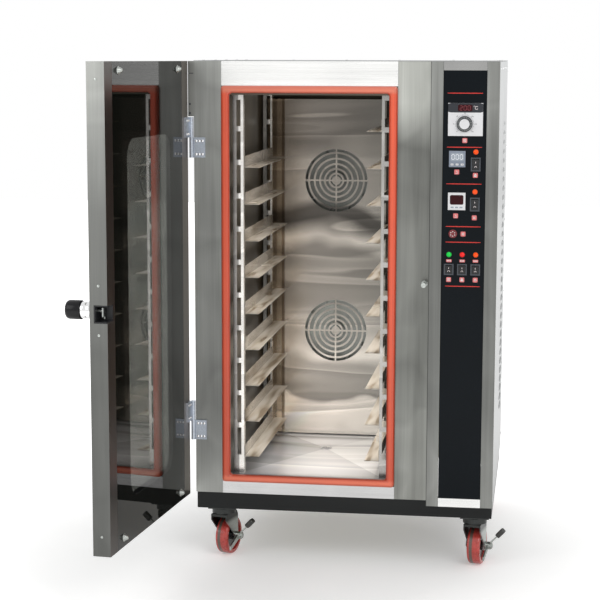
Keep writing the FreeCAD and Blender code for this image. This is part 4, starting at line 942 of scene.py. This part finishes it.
class OVEN_OT_controller(bpy.types.Operator):
    """Face, display and dial of the temperature controller"""
    bl_idname = "oven.controller"
    bl_label = "Temperature controller"

    def execute(self, context):
        y = FACE_Y - 6.0
        z = DATUM - 139.5
        band = [(MID + 2.2, y, z, 55.0, 15.0, 0)]
        piece("controller_band", marks(band, 0.3, 40, 16.0), "band", "cabinet")
        window = [(MID + 0.7, y - 0.3, z - 0.5, 23.0, 10.5, 0)]
        piece("controller_window", marks(window, 0.2, 32, 12.0), "display", "cabinet")
        shown = figures("200", MID - 11.8, y - 0.5, z - 0.5, 3.9, 7.0, 1.0)
        piece("controller_figures", marks(shown, 0.15, 8, 6.0), "red digit", "cabinet")
        unit = around((MID + 36.5, y - 0.3, z), (4.2, 5.0), range(40, 330, 24), (1.2, 0.8), 90)
        unit += around((MID + 29.5, y - 0.3, z + 5.0), 1.6, range(0, 360, 45), (0.6, 0.5), 90)
        piece("controller_unit", marks(unit, 0.15, 8, 4.0), "white ink", "cabinet")
        # The dial's scale goes clockwise from its lower left, with a longer tick at every third
        x, z = MID - 0.3, DATUM - 190.5
        first, step = 225, 10
        turns = first - step * np.arange(28)
        scale = around((x, y, z), 28.6, turns[::3], (2.4, 0.5), 180)
        scale += around((x, y, z), 28.6, np.delete(turns, np.s_[::3]), (1.3, 0.5), 180)
        for k in range(7):
            text = str(50 * k)
            a = math.radians(first - 45.0 * k)
            left = x + 34.6 * math.cos(a) - 1.3 * (len(text) - 1)
            scale += figures(text, left, y, z + 33.6 * math.sin(a), 0.8, 1.5, 0.28)
        piece("dial_scale", marks(scale, 0.12, 8, 6.0), "dark ink and painted shade", "cabinet")
        ring = [(25.3, 0.0), (25.3, 3.6), (24.4, 4.5), (16.4, 4.8), (16.3, 4.0)]
        skirt = turned(here([(x, y - 0.4, z)]), ring, 64)
        piece("dial_skirt", skirt, "dark ink and painted shade", "temperature_dial")
        ribs = around((x, y - 5.2, z), 20.6, range(0, 360, 15), (2.8, 0.7), 180)
        piece("dial_ribs", marks(ribs, 0.5, 8, 4.0), "zinc", "temperature_dial")
        return {"FINISHED"}


# Marks on the timer's buttons: across, up, half width, half height and turn
BUTTON_SIGNS = {
    "button_set": [(-1.6, 0, 0.5, 1.4, 0), (1.6, 0, 0.5, 1.4, 0)],
    "button_up": [(0, 0, 0.45, 1.5, 0), (0, 0, 1.5, 0.45, 0)],
    "button_start": [(0.3, 0, 1.3, 1.3, 45)],
}


class OVEN_OT_timers(bpy.types.Operator):
    """Windows, figures and key marks of the baking and steam timers, and the rim of the buzzer"""
    bl_idname = "oven.timers"
    bl_label = "Timers"

    def execute(self, context):
        y = FACE_Y - 5.0
        x, z = MID - 22.3, DATUM - 295.2
        window = [(x, y + 0.8, z, 20.8, 13.2, 0)]
        piece("baking_window", marks(window, 0.3, 32, 14.0), "lcd", "cabinet")
        shown = figures("000", x - 13.0, y + 0.5, z, 4.1, 8.0, 1.2)
        piece("baking_figures", marks(shown, 0.15, 8, 6.0), "pale digit", "cabinet")
        for body, sign in BUTTON_SIGNS.items():
            low, high = drawn(body)
            middle = (low + high) / 2
            items = [(middle[0] + dx, low[1], middle[2] + up, *rest) for dx, up, *rest in sign]
            piece(body + "_mark", marks(items, 0.1, 8, 6.0), "dark ink and painted shade", body)
        x, z = MID - 22.05, DATUM - 432.0
        window = [(x, y + 1.0, z, 21.6, 15.4, 0)]
        piece("steam_window", marks(window, 0.3, 32, 14.0), "display", "cabinet")
        shown = figures("00", x - 6.5, y + 0.7, z, 4.2, 8.0, 1.0)
        piece("steam_figures", marks(shown, 0.12, 8, 6.0), "display", "cabinet")
        keys = [(x + dx, y, DATUM - 456.0, 5.0, 2.2, 0) for dx in (-14.0, 0.0, 14.0)]
        piece("steam_keys", marks(keys, 0.4, 16, 6.0), "lcd", "cabinet")
        x, z = MID - 32.8, DATUM - 541.0
        rim = turned(here([(x, FACE_Y, z)]), [(13.6, 5.0), (13.6, 5.6), (11.6, 5.8), (11.2, 5.2)], 40)
        piece("buzzer_rim", rim, "buzzer", "cabinet", True)
        holes = around((x, FACE_Y - 5.9, z), 7.2, range(30, 390, 60), (1.7, 1.7))
        piece("buzzer_holes", marks(holes, 0.2, 12, 2.0), "white ink", "cabinet")
        return {"FINISHED"}


def tilt(angle):
    """Turn about X by an angle, as a matrix that points are multiplied by from the right."""
    c, s = math.cos(angle), math.sin(angle)
    return np.array([[1.0, 0.0, 0.0], [0.0, c, s], [0.0, -s, c]])


class OVEN_OT_rocker_marks(bpy.types.Operator):
    """On and off marks on the rockers, each riding with its switch"""
    bl_idname = "oven.rocker_marks"
    bl_label = "Rocker marks"

    def execute(self, context):
        bar = [(0, 0, 0, 0.9, 4.2, 0)]
        ring = around((0, 0, 0), 3.2, range(0, 360, 30), (1.0, 0.7), 90)
        for body in ROCKERS:
            middle = np.array(JOINTS[body + "_tilt"]["pos_m"], float)
            low, high = drawn(body)
            half = (high[2] - low[2]) / 2
            for side, word, items in ((1, "on", bar), (-1, "off", ring)):
                verts, faces = marks(items, 0.25, 10, 5.0, place=np.asarray)
                lean = side * math.atan2(1.6, half)
                seat = np.array([0.0, -3.2, side * half * 0.5])
                verts = middle + (verts @ tilt(-lean) + seat) @ tilt(math.radians(9.0)) / MM
                piece(body + "_" + word, (verts, faces), "white ink", body)
        return {"FINISHED"}


# Pilot lamps on the fascia: across from its middle and down from its datum
LAMPS = {"green": [(-44.3, 608.0)], "red": [(-1.8, 608.0)],
         "amber": [(41.2, 608.0), (36.7, 279.0), (35.7, 406.0)]}


class OVEN_OT_pilot_lamps(bpy.types.Operator):
    """Domed lenses and rims of the pilot lamps"""
    bl_idname = "oven.pilot_lamps"
    bl_label = "Pilot lamps"

    def execute(self, context):
        r = context.scene.oven_sizes.lens * MM
        a = np.linspace(0, 1.5, 9)
        bulb = [(r, 1.0)] + list(zip(r * np.cos(a), 3.0 + 5.0 * np.sin(a)))
        at = {name: here([(MID + x, FACE_Y, DATUM - down) for x, down in spots])
              for name, spots in LAMPS.items()}
        for name, spots in at.items():
            piece("lens_" + name, turned(spots, bulb, 36), name + " lens", "cabinet", True)
        rim = [(10.0, 0.0), (10.0, 2.2), (9.5, 3.0), (r + 0.3, 3.2), (r - 0.4, 2.4)]
        rims = turned(np.concatenate(list(at.values())), rim, 36)
        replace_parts(piece("lamp_rims", rims, "black", "cabinet", True), "pilot_lamps")
        return {"FINISHED"}


class OVEN_OT_casing(bpy.types.Operator):
    """Louvre hoods over the side slots, and the screws of the casing sheets"""
    bl_idname = "oven.casing"
    bl_label = "Casing fittings"

    def execute(self, context):
        heights = np.linspace(STEEL_Z + 215.0, TOP_Z - 221.0, 32) + 9.5
        slots = hoods(heights, 509.0, 611.0, 11.0, 5.0)
        piece("louvre_hoods", slots, "casing", "cabinet", True)
        # Screws run along the edges of the sheets
        screw = dome(context.scene.oven_sizes.casing_screw * MM, 2.4)
        rim = 22.0
        roof = drawn("top_panel")[1][2]
        tall = np.linspace(STEEL_Z + 40, TOP_Z - 40, 6)
        deep = np.linspace(60, BACK - 40, 5)
        wide = np.linspace(200, WIDTH - 200, 4)
        ends = (rim, WIDTH - rim)
        screws = {
            "right": ((1, 0, 0), [(WIDTH, BACK - rim, z) for z in tall]
                      + [(WIDTH, y, TOP_Z - rim) for y in deep]),
            "left": ((-1, 0, 0), [(0.0, y, z) for y in (BACK - rim, 68.0) for z in tall]),
            "back": ((0, 1, 0), [(x, BACK, z) for x in ends for z in tall]
                     + [(x, BACK, z) for z in (STEEL_Z + rim, TOP_Z - rim) for x in wide]),
            "top": ((0, 0, 1), [(x, y, roof) for x in ends for y in deep]
                    + [(x, BACK - rim, roof) for x in wide]),
        }
        for name, (normal, spots) in screws.items():
            heads = turned(here(spots), screw, 14, normal)
            piece("casing_screws_" + name, heads, "chrome", "cabinet", True)
        return {"FINISHED"}


class OVEN_OT_drain(bpy.types.Operator):
    """Strainer in the cavity floor's drain"""
    bl_idname = "oven.drain"
    bl_label = "Drain strainer"

    def execute(self, context):
        up = (0, 0, 1)
        x = sum(drawn("cavity_sides"))[0] / 2 - 4.0
        y = drawn("fan_baffle")[0][1] - 195.0
        z = drawn("cavity_floor")[1][2] - 10.0
        rim = [(21.0, 0.0), (21.0, 0.8), (19.5, 1.6), (16.4, 1.6), (15.6, 0.4)]
        piece("drain_rim", turned(here([(x, y, z)]), rim, 40, up), "floor", "cabinet", True)
        # Eight holes round four smaller ones, drawn as dark marks: painted shade of the drain under them
        holes = [(x + far * math.cos(t), y + far * math.sin(t), z + 1.6, r, r, 0)
                 for count, far, r in ((8, 10.5, 1.9), (4, 4.6, 1.3))
                 for t in np.linspace(0, 2 * np.pi, count, endpoint=False)]
        piece("drain_holes", marks(holes, 0.15, 14, 2.0, up), "dark ink and painted shade", "cabinet")
        return {"FINISHED"}


class OVEN_OT_castor_fittings(bpy.types.Operator):
    """Rubber pads on the brake levers and nuts on the front axles"""
    bl_idname = "oven.castor_fittings"
    bl_label = "Castor fittings"

    def execute(self, context):
        lean = math.radians(LEVER_LEAN)
        arm = np.array([math.cos(lean), 0.0, math.sin(lean)])
        end = np.array([LEVER_ROOT, 0.0, 0.0]) + arm * LEVER_L
        pad, faces = sleeve(end - arm * context.scene.oven_sizes.pad * MM, end, (0, 1, 0), 13.2, 8.6)
        nut = [(11.0, 0.0), (11.0, 4.0), (9.4, 5.0), (6.4, 5.2), (6.2, 6.2), (1.0, 6.6)]
        for side in ("left", "right"):
            joint = "roll_front_" + side
            cover = (about(joint, pad), faces)
            piece("lever_pad_" + side, cover, "rubber", "brake_" + side, True)
            end_nut = turned(about(joint, [[FORK_SIDE + 18.8, 0, 0]]), nut, 6, JOINTS[joint]["axis"])
            piece("axle_nut_" + side, end_nut, "zinc", "brake_" + side)
        return {"FINISHED"}


# Stage

def sight(tree):
    """1 for rays of sight, straight, mirrored or through glass, and 0 for the rays that carry light."""
    path = add(tree, "LightPath")
    seen = add(tree, "Math", [path["Is Camera Ray"], path["Is Glossy Ray"]], operation="MAXIMUM")
    return add(tree, "Math", [seen, path["Is Transmission Ray"]], operation="MAXIMUM")


def lamp(name, place, aim, power, size):
    """A soft square lamp at a place, turned to another."""
    data = bpy.data.lights.new(name, "AREA")
    data.energy = power
    data.size = size
    obj = bpy.data.objects.new(name, data)
    obj.location = place
    obj.rotation_euler = (Vector(aim) - Vector(place)).to_track_quat("-Z", "Y").to_euler()
    bpy.context.scene.collection.objects.link(obj)
    return obj


class OVEN_OT_stage(bpy.types.Operator):
    """Floor, light and camera"""
    bl_idname = "oven.stage"
    bl_label = "Stage"

    def execute(self, context):
        scene = context.scene
        scene.view_settings.view_transform = "Standard"
        # A painted floor, matt and pale; seen by eye it runs out into white away from the oven
        white = (1.0, 1.0, 1.0, 1.0)
        mat, tree, shader, coord = start("Matt studio floor", Roughness=0.9, Specular_IOR_Level=0.1,
                                         Emission_Color=white)
        grain = add(tree, "TexNoise", {"Vector": coord, "Scale": 3.0})
        tone = add(tree, "ValToRGB", [grain], [(0.3, linear("#f0f0ef")), (0.7, linear("#f5f5f4"))])
        away = add(tree, "VectorMath", [coord], operation="LENGTH")
        fade = add(tree, "MapRange", [away, 0.5, 2.2, 0.3, 1.0])
        glow = add(tree, "Math", [sight(tree), fade], operation="MULTIPLY")
        feed(tree, shader, {"Base Color": tone, "Emission Strength": glow})
        reach = 14.0
        mesh = bpy.data.meshes.new("studio_floor")
        mesh.from_pydata([(-reach, -reach, 0), (reach, -reach, 0), (reach, reach, 0), (-reach, reach, 0)], [],
                         [(0, 1, 2, 3)])
        mesh.materials.append(mat)
        floor = bpy.data.objects.new("studio_floor", mesh)
        scene.collection.objects.link(floor)
        world = bpy.data.worlds.new("Soft white room")
        scene.world = world
        world.use_nodes = True
        tree = world.node_tree
        power = add(tree, "MapRange", {0: sight(tree), 3: 0.55})
        feed(tree, tree.nodes["Background"], {"Color": white, "Strength": power})
        lamp("Key softbox", (2.4, -3.4, 3.6), (0.1, 0.0, 0.9), 60.0, 2.6)
        lamp("Fill softbox", (-2.6, -2.8, 2.6), (0.1, 0.0, 0.9), 30.0, 2.2)
        # The oven's own lamp, warm and soft, lights the shelves from just inside the mouth
        low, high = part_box("cavity_top")
        x, y, z = (low[0] + high[0]) / 2, low[1] + 0.03, HALF_UP / MM
        inner = lamp("Oven lamp", (x, y, z), (x, y + 1.0, z), 9.0, 0.3)
        inner.data.shape = "RECTANGLE"
        inner.data.size_y = 1.2
        inner.data.color = linear("#fff5ea")[:3]
        inner.visible_camera = False
        inner.visible_glossy = False
        inner.visible_transmission = False
        # Camera at the photograph's stand, for a square picture 600 across
        yaw, pitch, roll = (math.radians(v) for v in (8.227, 8.113, 0.117))
        eye = here([1150.3, -5508.9, TOP_Z + 11.15])
        focal, picture = 1700.0, 600.0
        ahead = np.array([-math.sin(yaw), math.cos(yaw), 0.0])
        right = np.array([math.cos(yaw), math.sin(yaw), 0.0])
        up = np.array([0.0, 0.0, 1.0])
        look = ahead * math.cos(pitch) - up * math.sin(pitch)
        over = up * math.cos(pitch) + ahead * math.sin(pitch)
        x = right * math.cos(roll) + over * math.sin(roll)
        y = over * math.cos(roll) - right * math.sin(roll)
        data = bpy.data.cameras.new("Photo camera")
        data.sensor_width = 36.0
        data.lens = data.sensor_width * focal / picture
        data.clip_end = 100.0
        cam = bpy.data.objects.new("Photo camera", data)
        cam.matrix_world = Matrix([[x[i], y[i], -look[i], eye[i]] for i in range(3)] + [[0, 0, 0, 1]])
        scene.collection.objects.link(cam)
        scene.camera = cam
        return {"FINISHED"}


class OVEN_PT_panel(bpy.types.Panel):
    """Lists the oven's making steps"""
    bl_idname = "OVEN_PT_panel"
    bl_label = "Bakery convection oven"
    bl_space_type = "VIEW_3D"
    bl_region_type = "UI"
    bl_category = "Oven"

    def draw(self, context):
        for step in STEPS:
            self.layout.operator(step.bl_idname)


STEPS = (OVEN_OT_finishes, OVEN_OT_door_fasteners, OVEN_OT_handle, OVEN_OT_fascia_print, OVEN_OT_controller,
         OVEN_OT_timers, OVEN_OT_rocker_marks, OVEN_OT_pilot_lamps, OVEN_OT_casing, OVEN_OT_drain,
         OVEN_OT_castor_fittings, OVEN_OT_stage)
CLASSES = (OvenColours, OvenSizes) + STEPS + (OVEN_PT_panel,)


def register():
    for cls in CLASSES:
        bpy.utils.register_class(cls)
    bpy.types.Scene.oven_colours = bpy.props.PointerProperty(type=OvenColours)
    bpy.types.Scene.oven_sizes = bpy.props.PointerProperty(type=OvenSizes)


def unregister():
    del bpy.types.Scene.oven_sizes
    del bpy.types.Scene.oven_colours
    for cls in reversed(CLASSES):
        bpy.utils.unregister_class(cls)


def main():
    """Make the oven's looks."""
    register()
    for step in STEPS:
        group, name = step.bl_idname.split(".")
        getattr(getattr(bpy.ops, group), name)()


if __name__ == "__main__":
    main()
